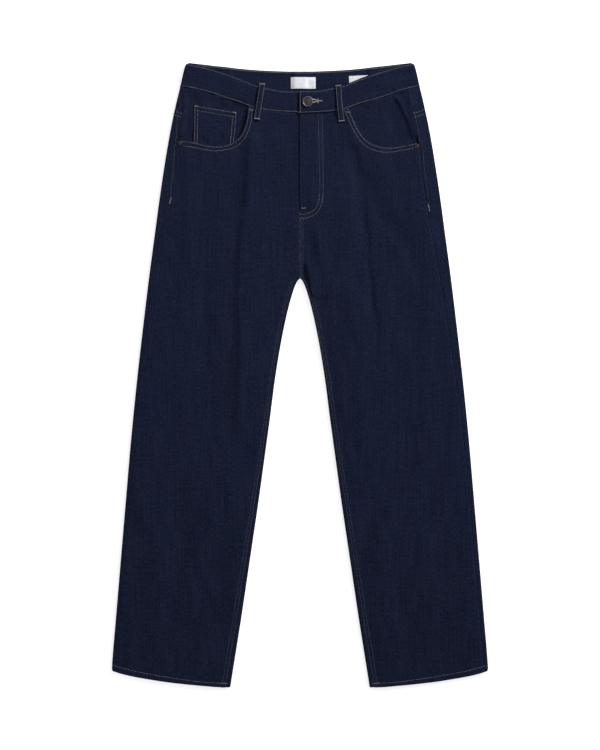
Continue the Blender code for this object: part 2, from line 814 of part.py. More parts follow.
def lathe(name, profile, sides, finish):
    """A round piece from its section: distance from the axis and height, bottom to top."""
    solid = bmesh.new()
    rings = []
    for radius, height in profile:
        ring = []
        for i in range(sides):
            angle = 2 * pi * i / sides
            ring.append(solid.verts.new((radius * cos(angle) * MM, radius * sin(angle) * MM, height * MM)))
        rings.append(ring)
    for low, high in zip(rings, rings[1:]):
        for i in range(sides):
            j = (i + 1) % sides
            solid.faces.new((low[i], low[j], high[j], high[i]))
    solid.faces.new(rings[0][::-1])
    solid.faces.new(rings[-1])
    mesh = bpy.data.meshes.new(name)
    solid.to_mesh(mesh)
    solid.free()
    return place(name, mesh, finish)


def facing_height(side, x, y):
    """Height of a pocket facing's outer face, level with the waistband's inside where they are sewn."""
    return over(x, y) - mix(WAIST_DROP, POCKET_DROP, ease((band_edge[side](abs(x)) - y) / 20.0))


def make_facing(side):
    """The front pocket's facing, seen through the mouth and carried on under the front panel."""
    start, foot = 468.0, 369.0
    seam = []
    for y in steps(start, foot, 7):
        inset = side_inset[side](y) + SEAM / 2
        seam.append(inset_from(outer, y, inset))
    top_end = (seam[0][0], band_edge[side](seam[0][0]) - SEAM / 2)
    seam[0] = top_end
    waist = [(x, band_edge[side](x) - SEAM / 2) for x in steps(62.0, top_end[0], 18)]
    bag = [(150.0, 367.0), (112.0, 369.0), (84.0, 384.0), (68.0, 408.0)]
    loop = waist + seam[1:] + bag

    def lift(x, y):
        top = facing_height(side, x, y)
        return top, top - CLOTH

    sheet = Sheet()
    sheet.fill(mirrored(loop, side), lift, (14.0, 12.0))
    return sheet.build("pocket_facing_" + side_name(side), DENIM)


def make_coin_pocket():
    """The small pocket on the left facing, which runs down behind the mouth."""
    corners = [(-174.5, 444.2), (-103.6, 433.0), (-109.5, 374.0), (-176.0, 374.0)]
    loop = []
    for a, b in zip(corners, corners[1:] + corners[:1]):
        loop += [(mix(a[0], b[0], t), mix(a[1], b[1], t)) for t in steps(0.0, 1.0, 5)[:-1]]

    def lift(x, y):
        low = facing_height(-1, x, y) + SEAM
        return low + TRIM, low

    sheet = Sheet()
    sheet.fill(loop, lift, (14.0, 12.0))
    return sheet.build("coin_pocket", DENIM)


def make_back_pocket(side):
    """A plain patch pocket that lies under the back panel."""
    outline = pocket_outline(side)
    loop = []
    for a, b in zip(outline, outline[1:] + outline[:1]):
        loop += [(mix(a[0], b[0], t), mix(a[1], b[1], t)) for t in steps(0.0, 1.0, 3)[:-1]]
    sheet = Sheet()
    sheet.fill(loop, lambda x, y: (0.0, CLOTH), (50.0, 50.0))
    return sheet.build("back_pocket_" + side_name(side), DENIM)


def make_front_loop(side, top, foot):
    """A belt loop over the front waistband, sewn down at both ends and a little slack between."""
    length = hypot(top[0] - foot[0], top[1] - foot[1])
    along = ((foot[0] - top[0]) / length, (foot[1] - top[1]) / length)
    band_foot = band_edge[side](abs(top[0] + foot[0]) / 2)
    rows = []
    for t in steps(0.0, 1.0, 14):
        x, y = mix(top[0], foot[0], t), mix(top[1], foot[1], t)
        band_height = band_over(x) + (overlap_rise(x) if side > 0 else 0.0)
        drop = ease((band_foot - 1.0 - y) / 7.0)
        low = mix(band_height, over(x, y) + (fly_rise(x, y) if side > 0 else 0.0), drop)
        low += SEAM + 1.3 * ease(t / 0.3) * ease((1.0 - t) / 0.3)
        row = []
        for out in (-LOOP_HALF, 0.0, LOOP_HALF):
            px, py = x - out * along[1], y + out * along[0]
            row.append(((px, py, low + STRAP), (px, py, low)))
        rows.append(row)
    sheet = Sheet()
    sheet.grid(rows)
    return sheet.build("belt_loop_front_" + side_name(side), DENIM)


def make_back_loop(name, x):
    """A belt loop under the back waistband, pressed flat by the weight above it."""
    outline = loop_outline(x)
    top, low = outline[0][1], outline[2][1]
    rows = []
    for y in steps(top, low, 4):
        rows.append([((px, y, 0.0), (px, y, STRAP)) for px in (x - LOOP_HALF, x, x + LOOP_HALF)])
    sheet = Sheet()
    sheet.grid(rows)
    return sheet.build(name, DENIM)


def make_zip():
    """The closed zip behind the fly: tape with its chain, and the slider at the top."""
    chain, half_chain, half_tape = FLY_UNDER + 3.4, 2.4, 12.0
    rows = []
    for y in steps(427.0, FLY_FOOT + 8.0, 9):
        row = []
        for x in (-half_tape, -half_chain, -0.8 * half_chain, 0.8 * half_chain, half_chain, half_tape):
            top = over(chain + x, y) - CLOTH - SEAM
            raised = CHAIN_HEIGHT if abs(x) < half_chain else 0.0
            row.append(((chain + x, y, top + raised), (chain + x, y, top - TRIM)))
        rows.append(row)
    sheet = Sheet()
    sheet.grid(rows)
    sheet.build("zip_tape", TAPE)
    y = 419.0
    low = over(chain, y) - CLOTH + CHAIN_HEIGHT
    outline = [(-2.2, -5.0), (2.2, -5.0), (2.8, 1.0), (2.0, 5.0), (-2.0, 5.0), (-2.8, 1.0)]
    loop = [(chain + px, y + py) for px, py in outline]
    sheet = Sheet()
    sheet.fill(loop, lambda px, py: (low + 0.9, low), (20.0, 20.0))
    sheet.build("zip_slider", BRONZE)


def make_button():
    """The waist button: a capped shank that passes through the upper end of the band."""
    seat = BAND_CENTRE + OVERLAP_RISE
    r = BUTTON_RADIUS
    profile = [
        (SHANK_RADIUS, BAND_CENTRE + SEAM),
        (SHANK_RADIUS, seat + SEAM),
        (r - 0.9, seat + SEAM),
        (r, seat + SEAM + 0.8),
        (r, seat + SEAM + 1.7),
        (r - 0.7, seat + SEAM + 2.4),
        (r - 1.9, seat + SEAM + 2.5),
        (r - 2.6, seat + SEAM + 1.8),
        (0.35 * r, seat + SEAM + 1.6),
    ]
    button = lathe("button", profile, 32, BRONZE)
    button.location = (BUTTON_PLACE[0] * MM, BUTTON_PLACE[1] * MM, 0.0)
    return button


def make_rivet(side):
    x, y = RIVET_PLACES[side_name(side)]
    seat = max(over(x + dx, y + dy) for dx in (-4.0, 4.0) for dy in (-4.0, 4.0)) + SEAM
    profile = [
        (RIVET_RADIUS, seat),
        (RIVET_RADIUS, seat + 0.5),
        (0.7 * RIVET_RADIUS, seat + 1.0),
        (0.35 * RIVET_RADIUS, seat + 1.3),
    ]
    rivet = lathe("rivet_" + side_name(side), profile, 20, COPPER)
    rivet.location = (x * MM, y * MM, 0.0)
    return rivet


def make_label(name, centre, size, turn):
    """A blank woven label sewn inside the back waistband."""
    rows = []
    for v in steps(0.5, -0.5, 3):
        row = []
        for u in steps(-0.5, 0.5, 12):
            dx, dy = u * size[0], v * size[1]
            x = centre[0] + dx * cos(turn) - dy * sin(turn)
            y = centre[1] + dx * sin(turn) + dy * cos(turn)
            low = under(x, y) + BAND + SEAM
            row.append(((x, y, low + 0.6), (x, y, low)))
        rows.append(row)
    sheet = Sheet()
    sheet.grid(rows)
    return sheet.build(name, PAPER_WHITE)


for side in (-1, 1):
    make_back(side)
    make_front(side)
    make_yoke(side)
    make_facing(side)
    make_back_pocket(side)
    make_rivet(side)
make_coin_pocket()
make_waistband()
make_front_loop(-1, (-62.3, 481.0), (-70.6, 420.0))
make_front_loop(1, (62.4, 478.2), (68.9, 416.5))
make_back_loop("belt_loop_back_left", -SIDE_LOOP_X)
make_back_loop("belt_loop_back_centre", 0.0)
make_back_loop("belt_loop_back_right", SIDE_LOOP_X)
make_zip()
make_button()
make_label("label_centre", (5.2, 482.0), (41.0, 20.0), 0.0)
make_label("label_side", (96.5, 483.5), (31.0, 20.0), 0.05)
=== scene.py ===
import math
import bpy
import numpy as np
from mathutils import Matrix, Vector
from mathutils.geometry import delaunay_2d_cdt


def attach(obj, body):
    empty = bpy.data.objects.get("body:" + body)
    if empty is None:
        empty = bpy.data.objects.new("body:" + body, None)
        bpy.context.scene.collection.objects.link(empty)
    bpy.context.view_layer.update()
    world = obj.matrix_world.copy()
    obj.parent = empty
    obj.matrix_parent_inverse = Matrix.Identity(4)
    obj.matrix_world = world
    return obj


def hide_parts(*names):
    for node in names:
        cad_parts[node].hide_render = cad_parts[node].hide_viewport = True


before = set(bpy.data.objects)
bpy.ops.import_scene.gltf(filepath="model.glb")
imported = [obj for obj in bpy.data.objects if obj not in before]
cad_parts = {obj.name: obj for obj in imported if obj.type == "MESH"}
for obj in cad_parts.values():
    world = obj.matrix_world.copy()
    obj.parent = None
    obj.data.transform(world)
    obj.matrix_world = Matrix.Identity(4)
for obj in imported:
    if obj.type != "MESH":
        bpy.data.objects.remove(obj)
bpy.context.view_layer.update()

# Tapered jeans laid flat, front up. Lengths are in millimetres until a mesh is made.
# x is across, y towards the waist, z up. Left and right are the viewer's.
# Tables run outwards from the centre line, one for both legs.
mm = 0.001

laid = {
    "cloth": 1.1,  # denim
    "hemWall": 2.2,
    "hemDepth": 11.0,
    "bandWall": 2.0,
    "loopWall": 1.6,
    "coinWall": 1.0,
    "seamGap": 0.06,
    "foldRadius": 2.6,  # of the fold along each leg
    "foldWay": 2.97,  # how much longer the way round that fold is than its width
    "bandFoldRadius": 3.0,
    "edgeEase": 26.0,  # how far in the front rises to its full height
    "loft": 0.7,
    "crotch": 158.6,
    "bandTop": 186.0,
    "bandFoot": 197.7,
    "bandFootY": 475.5,
    "yokeEdgeY": 440.0,
    "hemInner": 114.6,
    "hemOuter": 310.2,
    "hemInnerY": -514.8,
    "hemOuterY": -484.2,
}


def ease(t):
    t = np.clip(t, 0.0, 1.0)
    return t * t * (3.0 - 2.0 * t)


def mix(a, b, t):
    return a + (b - a) * t


def smoothTable(rows, column=1):  # a smooth reading of one column of a table by its first
    at, value = (np.array(part, float) for part in zip(*sorted((row[0], row[column]) for row in rows)))
    gap = np.diff(at)
    rise = np.diff(value) / gap
    middle = (rise[:-1] * gap[1:] + rise[1:] * gap[:-1]) / (gap[:-1] + gap[1:])
    slope = np.concatenate((rise[:1], middle, rise[-1:]))

    def read(place):
        place = np.clip(np.asarray(place, float), at[0], at[-1])
        i = np.clip(np.searchsorted(at, place) - 1, 0, len(gap) - 1)
        t = (place - at[i]) / gap[i]
        start, end = slope[i] * gap[i], slope[i + 1] * gap[i]
        even = (2 * t**3 - 3 * t**2 + 1) * value[i] + (3 * t**2 - 2 * t**3) * value[i + 1]
        return even + (t**3 - 2 * t**2 + t) * start + (t**3 - t**2) * end

    return read


# The plan of the laid jeans: (y, x) along the edges, (x, y) across
outerEdge = smoothTable(
    [(515.2, 186.0), (512.0, 188.2), (509.0, 189.4), (494.0, 193.4), (477.5, 197.0), (444.5, 204.9), (411.5, 211.9),
     (378.5, 218.0), (345.5, 223.4), (296.0, 230.8), (230.0, 239.7), (164.0, 248.5), (90.0, 257.5), (-9.0, 268.8),
     (-108.0, 278.7), (-207.0, 287.2), (-306.0, 295.6), (-405.0, 303.9), (-471.0, 309.4), (-484.2, 310.2)]
)
insideLeg = [
    (157.6, 2.2), (152.7, 5.4), (139.5, 10.7), (123.0, 15.7), (90.0, 23.8), (57.0, 30.5), (24.0, 36.3),
    (-9.0, 41.4), (-75.0, 49.9), (-141.0, 58.9), (-207.0, 68.0), (-306.0, 82.6), (-405.0, 97.3), (-514.8, 114.6),
]
innerByRoot = smoothTable([(0.0, 0.0)] + [(math.sqrt(laid["crotch"] - y), x) for y, x in insideLeg])
hemEdge = smoothTable(
    [(114.6, -514.8), (122.0, -515.0), (161.0, -512.4), (190.6, -509.6), (220.3, -506.2), (250.0, -501.6),
     (279.7, -496.1), (299.5, -491.1), (306.5, -488.6), (309.4, -486.9), (310.2, -484.2)]
)
backTop = smoothTable([(0.0, 500.3), (39.0, 501.3), (78.4, 503.4), (121.3, 507.7), (161.0, 512.4), (186.0, 515.2)])
frontTop = smoothTable(
    [(0.0, 468.4), (33.0, 469.5), (52.8, 473.3), (71.0, 477.2), (85.8, 483.0), (99.0, 488.5), (122.0, 497.0),
     (142.0, 503.4), (162.0, 509.0), (186.0, 514.0)]
)
backBandSeam = smoothTable([(0.0, 464.9), (100.0, 469.0), (197.7, 475.5)])
yokeSeam = smoothTable([(0.0, 402.0), (120.0, 424.0), (206.5, 440.0)])
frontBandRows = [  # x, left y, right y
    (0.0, 431.8, 430.6), (33.0, 433.6, 432.0), (59.4, 436.5, 434.8), (81.0, 441.5, 440.0), (99.0, 448.3, 446.6),
    (118.8, 454.6, 452.2), (142.7, 463.0, 459.2), (166.7, 469.5, 468.0), (197.7, 475.5, 475.5),
]
frontBandSeam = {-1: smoothTable(frontBandRows, 1), 1: smoothTable(frontBandRows, 2)}
sideSeamRows = [  # y, left inset, right inset
    (476.0, 6.5, 20.5), (434.0, 13.2, 21.6), (393.0, 15.8, 21.8), (361.0, 17.2, 22.6), (333.0, 19.4, 24.3),
    (285.0, 20.3, 24.1), (157.0, 15.7, 18.2), (25.0, 11.6, 12.9), (-127.0, 8.8, 8.8), (-485.0, 7.4, 7.4),
]
sideSeamInset = {-1: smoothTable(sideSeamRows, 1), 1: smoothTable(sideSeamRows, 2)}
insideSeamInset = smoothTable([(158.6, 3.1), (-75.0, 3.4), (-207.0, 4.8), (-514.8, 6.9)])


def innerEdge(y):
    return np.where(y < laid["crotch"], innerByRoot(np.sqrt(np.maximum(laid["crotch"] - y, 0.0))), 0.0)


def insetFrom(edge, y, inset):  # the plan point that lies in from a folded edge, square to it
    y = np.asarray(y, float)
    reach = np.clip((laid["crotch"] - y) * 0.5, 0.001, 0.5) if edge is innerEdge else 0.5
    slope = (edge(y + reach) - edge(y - reach)) / (2 * reach)
    inward = 1 if edge is innerEdge else -1
    length = np.hypot(1.0, slope)
    x, py = edge(y) + inward * inset / length, y - inward * inset * slope / length
    if edge is innerEdge:
        above = y > laid["crotch"] - 0.01
        x, py = np.where(above, 0.0, x), np.where(above, laid["crotch"] + inset, py)
    return x, py


def evenSteps(start, end, spacing):
    return np.linspace(start, end, max(2, int(math.ceil(abs(end - start) / spacing)) + 1))


def walk(points, spacing, smooth=True):  # a line through given points, at an even spacing
    points = np.array(points, float)
    run = np.concatenate(([0.0], np.cumsum(np.hypot(*np.diff(points, axis=0).T))))
    at = evenSteps(0.0, run[-1], spacing)
    if smooth and len(points) > 2:
        return np.column_stack([smoothTable(list(zip(run, column)))(at) for column in points.T])
    return np.column_stack([np.interp(at, run, column) for column in points.T])


def leftOf(line):  # which way is left, at each point of a line in plan
    ahead = np.gradient(line, axis=0)
    ahead /= np.linalg.norm(ahead, axis=1, keepdims=True)
    return np.column_stack((-ahead[:, 1], ahead[:, 0]))


def mirrored(line, side):
    return np.array(line, float) * [side, 1]


def distanceTo(lines, x, y):  # how far points of the plan are from the nearest of some lines
    starts = np.vstack([line[:-1] for line in lines])
    step = np.vstack([line[1:] for line in lines]) - starts
    lengthSquared = np.maximum((step**2).sum(1), 1e-9)
    flat = np.column_stack((np.ravel(x), np.ravel(y))).astype(float)
    found = np.empty(len(flat))
    order = np.lexsort((flat[:, 0] // 24, flat[:, 1] // 24))
    for i in range(0, len(flat), 400):  # points that lie together need only the lines near them
        part = order[i : i + 400]
        spots = flat[part]
        centre = spots.mean(0)
        radius = np.sqrt(((spots - centre) ** 2).sum(1).max())
        gap = np.sqrt(((starts - centre) ** 2).sum(1))
        near = gap - np.sqrt(lengthSquared) <= gap.min() + 2 * radius + 1e-6
        away = spots[:, None] - starts[near]
        t = np.clip((away * step[near]).sum(2) / lengthSquared[near], 0, 1)
        found[part] = np.sqrt(((away - t[..., None] * step[near]) ** 2).sum(2).min(1))
    return found.reshape(np.shape(x))


def rimDistance(loop, x, y):  # how far they are from a closed line
    return distanceTo([np.vstack((loop, loop[:1]))], x, y)


def ripples(x, y, across, along, seed):  # uneven waves of about height 1, the same on every run
    draw = np.random.default_rng(seed)
    total = 0.0
    for _ in range(9):
        a, b, phase = draw.normal(0, 1), draw.normal(0, 1), draw.uniform(0, 2 * math.pi)
        total = total + np.sin(2 * math.pi * (0.7 * a * x / across + 0.7 * b * y / along) + phase)
    return total / 2.1


def isInside(loop, x, y):
    x, y = np.ravel(x), np.ravel(y)
    found = np.zeros(len(x), bool)
    for (x0, y0), (x1, y1) in zip(loop, np.roll(loop, -1, axis=0)):
        if y0 != y1:
            found ^= ((y0 > y) != (y1 > y)) & (x < x0 + (y - y0) * (x1 - x0) / (y1 - y0))
    return found


# Heights of the laid cloth
creases = {
    # name: height, width of its left and right bank, how far it fades at the top and the foot,
    # and its line from top to foot
    "leftMain": (3.7, 7.2, 52.0, 24, 170, [(-86, 406), (-88, 294), (-94, 184), (-99, 102), (-100, 19),
                                           (-103, -40), (-104, -90), (-100, -140)]),
    "leftKnee": (2.0, 14.0, 30.0, 90, 100, [(-112, 90), (-108, 0), (-98, -90), (-90, -160)]),
    "leftOuter": (1.5, 9.0, 24.0, 30, 120, [(-190, 382), (-187, 300), (-184, 220), (-182, 120)]),
    "leftBroad": (-1.6, 15.0, 17.0, 60, 140, [(-163, 340), (-160, 250), (-157, 120), (-160, -20), (-166, -90)]),
    "leftLow": (-1.0, 14.0, 16.0, 60, 70, [(-190, -150), (-200, -290), (-207, -400)]),
    "rightMain": (-3.1, 12.0, 5.4, 16, 150, [(88, 386), (96.5, 349), (103.5, 294), (108, 239), (112, 184),
                                             (117.5, 129), (126.5, 74), (132, 19), (136, -30)]),
    "rightCrest": (1.5, 20.0, 4.6, 90, 150, [(98, 294), (102.5, 239), (106.5, 184), (112, 129), (120.5, 74),
                                             (126, 10)]),
    "rightSlant": (-2.6, 12.0, 12.0, 30, 30, [(106, 345), (113, 322), (132, 272), (149, 239), (171, 210)]),
    "rightSlantLow": (-1.7, 12.0, 14.0, 30, 40, [(150, 270), (168, 230), (184, 180), (196, 130)]),
    "rightRidge": (3.2, 20.0, 26.0, 70, 130, [(56, 200), (82, 120), (95, 74), (101, -30), (108, -130),
                                              (112, -190)]),
    "rightInner": (1.9, 10.0, 16.0, 40, 60, [(26, 262), (36, 200), (46, 150), (58, 90)]),
    "rightOuter": (-1.1, 14.0, 14.0, 60, 60, [(176, 180), (186, 90), (195, -10), (200, -80)]),
    "rightLow": (-0.9, 14.0, 16.0, 60, 60, [(206, -160), (218, -260), (228, -360)]),
}
crotchCreases = [  # height, half width, line outwards from the crotch
    (-0.35, 6.0, [(12, 196), (30, 208), (52, 216), (80, 221)]),
    (-0.3, 6.0, [(-12, 196), (-34, 212), (-56, 222), (-78, 228)]),
]
crotchFold = [  # height, width towards the edge and away from it, line beside the right leg's folded edge
    (-1.9, 5.0, 3.2, [(4.6, 190), (6.0, 176), (8.4, 162), (12.0, 148), (16.6, 133), (21.0, 118)]),
    (2.6, 3.6, 15.0, [(10.5, 188), (12.0, 176), (14.5, 162), (17.6, 150), (22.0, 135), (26.5, 120)]),
]
deepest = 2.3  # the most that troughs may sink the front, which keeps it clear of the back over its pockets
innerY = laid["crotch"] - np.linspace(0, 8, 40) ** 2
innerLine = np.column_stack((innerEdge(innerY), innerY))


def depthIn(x, y):  # how far a point of the plan lies inside the folded edges
    x = np.abs(x)
    inside = outerEdge(y) - x
    low = x - innerEdge(y)
    near = y > laid["crotch"] - 50.0
    away = np.array(low, float)
    if np.any(near):
        away[near] = distanceTo([innerLine], x[near], y[near])
    return np.minimum(inside, away)


def creaseHeight(x, y):
    x = x + 1.5 * ripples(x, y, 160, 130, 3)
    total = np.zeros(np.shape(x))
    for height, left, right, fadeTop, fadeFoot, line in creases.values():
        lineX = smoothTable([(py, px) for px, py in line])(y)
        across = x - lineX
        bank = np.where(across < 0, left, right)
        ends = ease((line[0][1] - y) / fadeTop) * ease((y - line[-1][1]) / fadeFoot)
        total += height * ends * np.exp(-(np.abs(across / bank) ** 1.4))
    for height, half, line in crotchCreases:
        away = distanceTo([np.array(line, float)], x, y)
        reach = (np.abs(x) - abs(line[0][0])) / (abs(line[-1][0]) - abs(line[0][0]))
        total += height * ease(reach / 0.2 + 0.5) * ease((1.1 - reach) / 0.4) * np.exp(-((away / half) ** 2))
    knee = 0.5 * deepest
    return np.where(total < -knee, -knee - knee * np.tanh((-total - knee) / knee), total)


def crotchFoldHeight(x, y):
    total = np.zeros(np.shape(x))
    for height, left, right, line in crotchFold:
        across = x - smoothTable([(py, px) for px, py in line])(y)
        ends = ease((line[0][1] - y) / 14.0) * ease((y - line[-1][1]) / 16.0)
        total += height * ends * np.exp(-((across / np.where(across < 0, left, right)) ** 2))
    return total


def seamPucker(x, y):  # ridges and small gathers along the side seam and the inside-leg seam
    side = np.where(x < 0, -1, 1)
    inset = outerEdge(y) - np.abs(x)
    seam = np.where(side < 0, sideSeamInset[-1](y), sideSeamInset[1](y))
    d = inset - seam
    gather = ripples(y, 0.3 * x, 11.0, 60.0, 21) * np.exp(-((d / 6.0) ** 2)) * 0.16
    ridge = 0.35 * np.exp(-(((d + 5.0) / 5.5) ** 2))
    inner = np.abs(x) - innerEdge(y)
    e = inner - insideSeamInset(y)
    leg = ease((laid["crotch"] - y) / 30.0)
    gather2 = ripples(y, 0.3 * x, 10.0, 60.0, 22) * np.exp(-(((e - 3.0) / 6.0) ** 2)) * 0.2 * leg
    ridge2 = 0.3 * np.exp(-(((e - 4.0) / 5.0) ** 2)) * leg
    above = y - hemEdge(np.abs(x))
    hem = ripples(x, 0.3 * y, 12.0, 50.0, 23) * np.exp(-(((above - 7.0) / 6.0) ** 2)) * 0.22
    return gather + ridge + gather2 + ridge2 + hem


def overHeight(x, y):  # the front's outer face
    x, y = np.asarray(x, float), np.asarray(y, float)
    inner = ease((depthIn(x, y) - laid["foldRadius"]) / laid["edgeEase"])
    soft = 0.3 * ripples(x, y, 75, 260, 5) + 0.12 * ripples(x, y, 28, 70, 6)
    small = ease((depthIn(x, y) - laid["foldRadius"]) / 5.0)
    near = seamPucker(x, y) + crotchFoldHeight(x, y)
    return 2 * laid["foldRadius"] + inner * (laid["loft"] + creaseHeight(x, y) + soft) + small * near


backPocketRows = [(-71.0, 78.0), (71.0, 78.0), (62.0, -58.0), (0.0, -84.0), (-62.0, -58.0)]
backPocketCentre = (107.0, 279.0)
backLoop = {"half": 5.4, "length": 50.0, "sideX": 124.0}


def backPocketLine(side, margin=0.0):
    grow = 1.0 + margin / 66.0
    midX, midY = backPocketCentre
    return np.array([(side * (midX + x * grow), midY + y * grow) for x, y in backPocketRows])


def backLoopLine(x, margin=0.0):
    top, half = float(backTop(abs(x))) - 1.0, backLoop["half"] + margin
    low = top - backLoop["length"] - margin
    return np.array([(x - half, top + margin), (x + half, top + margin), (x + half, low), (x - half, low)])


def underHeight(x, y):  # the back's outer face, raised over the pockets and loops that it lies on
    x, y = np.asarray(x, float), np.asarray(y, float)
    height = np.zeros(np.shape(x))
    things = [(backPocketLine(side, 2.0), laid["cloth"] + 0.3) for side in (-1, 1)]
    loopsAt = (-backLoop["sideX"], 0.0, backLoop["sideX"])
    things += [(backLoopLine(at, 2.0), laid["loopWall"] + 0.3) for at in loopsAt]
    for ring, rise in things:
        near = (np.abs(x - ring[:, 0].mean()) < 110) & (np.abs(y - ring[:, 1].mean()) < 130)
        if not np.any(near):
            continue
        away = rimDistance(ring, x[near], y[near])
        away[isInside(ring, x[near], y[near])] = 0.0
        height[near] = np.maximum(height[near], rise * ease(1.0 - away / 8.0))
    return height


def bandHeight(side, x):  # outer face of the front waistband; the right end lies over the left
    plain = mix(6.6, 2 * laid["bandFoldRadius"], ease(np.abs(x) / 60.0))
    return plain + (2.3 * (1.0 - ease((x - 36.0) / 44.0)) if side > 0 else 0.0)


def flyRise(x, y):
    return 1.8 * (1.0 - ease((x - 27.4) / 17.1)) * ease((y - 262.0) / 22.0)


mouthGape = {-1: ((-90.0, 416.0), 15.0, 30.0, 2.5), 1: ((86.0, 414.0), 15.0, 30.0, 2.3)}


def frontHeight(side, x, y):
    at, wide, tall, rise = mouthGape[side]  # the mouth's inner end stands open
    gape = rise * np.exp(-(((x - at[0]) / wide) ** 2) - (((y - at[1]) / tall) ** 2))
    return overHeight(x, y) + gape + (flyRise(x, y) if side > 0 else 0.0)


def facingHeight(side, x, y):  # sunk behind the mouth, and level with the back where they are sewn together
    across = np.abs(x)
    inEnd = ease((122.0 - across) / 22.0)  # deepest in the mouth's inner corner
    below = ease((frontBandSeam[side](across) - y) / mix(20.0, 8.0, inEnd))
    sunk = mix(mix(0.5, 1.3, inEnd), 2.7, below)
    seam = ease(1.0 - (outerEdge(y) - across - sideSeamInset[side](y)) / 11.0) * ease((y - 389.0) / 12.0)
    return overHeight(x, y) - mix(sunk, 0.15, seam)


print("plan and heights ready")


def colour(*display):  # red, green and blue of a display colour, 0 to 255, as a shader reads them
    linear = [((c / 255 + 0.055) / 1.055) ** 2.4 if c > 10 else c / 255 / 12.92 for c in display]
    return (*linear, 1.0)


class Nodes:  # short calls for a material's or a geometry tree's nodes
    def __init__(self, tree):
        self.tree = tree

    def add(self, kind, **settings):
        node = self.tree.nodes.new(kind)
        for name, value in settings.items():
            setattr(node, name, value)
        return node

    def link(self, source, target):
        self.tree.links.new(source, target)

    def put(self, node, **values):
        for name, value in values.items():
            socket = node.inputs[name.replace("_", " ")]
            if isinstance(value, bpy.types.NodeSocket):
                self.link(value, socket)
            else:
                socket.default_value = value
        return node

    def noise(self, vector, scale, detail=2.0, rough=0.5):
        node = self.add("ShaderNodeTexNoise")
        return self.put(node, Vector=vector, Scale=scale, Detail=detail, Roughness=rough).outputs["Fac"]

    def stretched(self, vector, scale, turn=0.0):
        node = self.add("ShaderNodeMapping")
        node.inputs["Rotation"].default_value = (0, 0, turn)
        node.inputs["Scale"].default_value = scale
        return self.put(node, Vector=vector).outputs["Vector"]

    def ramp(self, value, low, high, start=0.0, end=1.0):
        node = self.add("ShaderNodeMapRange", clamp=True)
        self.link(value, node.inputs["Value"])
        for name, number in zip(("From Min", "From Max", "To Min", "To Max"), (low, high, start, end)):
            node.inputs[name].default_value = number
        return node.outputs["Result"]

    def maths(self, how, a, b):
        node = self.add("ShaderNodeMath", operation=how)
        for i, value in enumerate((a, b)):
            if isinstance(value, bpy.types.NodeSocket):
                self.link(value, node.inputs[i])
            else:
                node.inputs[i].default_value = value
        return node.outputs[0]

    def blend(self, amount, first, second, how="MIX"):
        node = self.add("ShaderNodeMix", data_type="RGBA", blend_type=how)
        sockets = [s for s in node.inputs if s.enabled and s.name in ("Factor", "A", "B")]
        for socket, value in zip(sockets, (amount, first, second)):
            if isinstance(value, bpy.types.NodeSocket):
                self.link(value, socket)
            else:
                socket.default_value = value
        return [s for s in node.outputs if s.enabled][0]

    def bump(self, height, distance, strength=1.0, normal=None):
        node = self.add("ShaderNodeBump")
        self.put(node, Height=height, Distance=distance, Strength=strength)
        if normal is not None:
            self.link(normal, node.inputs["Normal"])
        return node.outputs["Normal"]


def newMaterial(name, **constants):
    material = bpy.data.materials.new(name)
    material.use_nodes = True
    nodes = Nodes(material.node_tree)
    shader = material.node_tree.nodes["Principled BSDF"]
    nodes.put(shader, **constants)
    return material, nodes, shader


denim = {
    "dark": colour(7, 12, 33),
    "light": colour(31, 37, 57),
    "rubbed": colour(38, 45, 68),
    "reverseDark": colour(62, 72, 96),
    "reverseLight": colour(104, 114, 136),
    "twillPitch": 0.0011,
    "slub": (430.0, 210.0, 1.0),
    "sheen": 0.01,
    # how much lighter each grain of the yarn makes the cloth
    "slubShare": 0.48,
    "streakShare": 0.26,
    "weftShare": 0.14,
    "cloudShare": 0.16,
    "twillShare": 0.10,
}


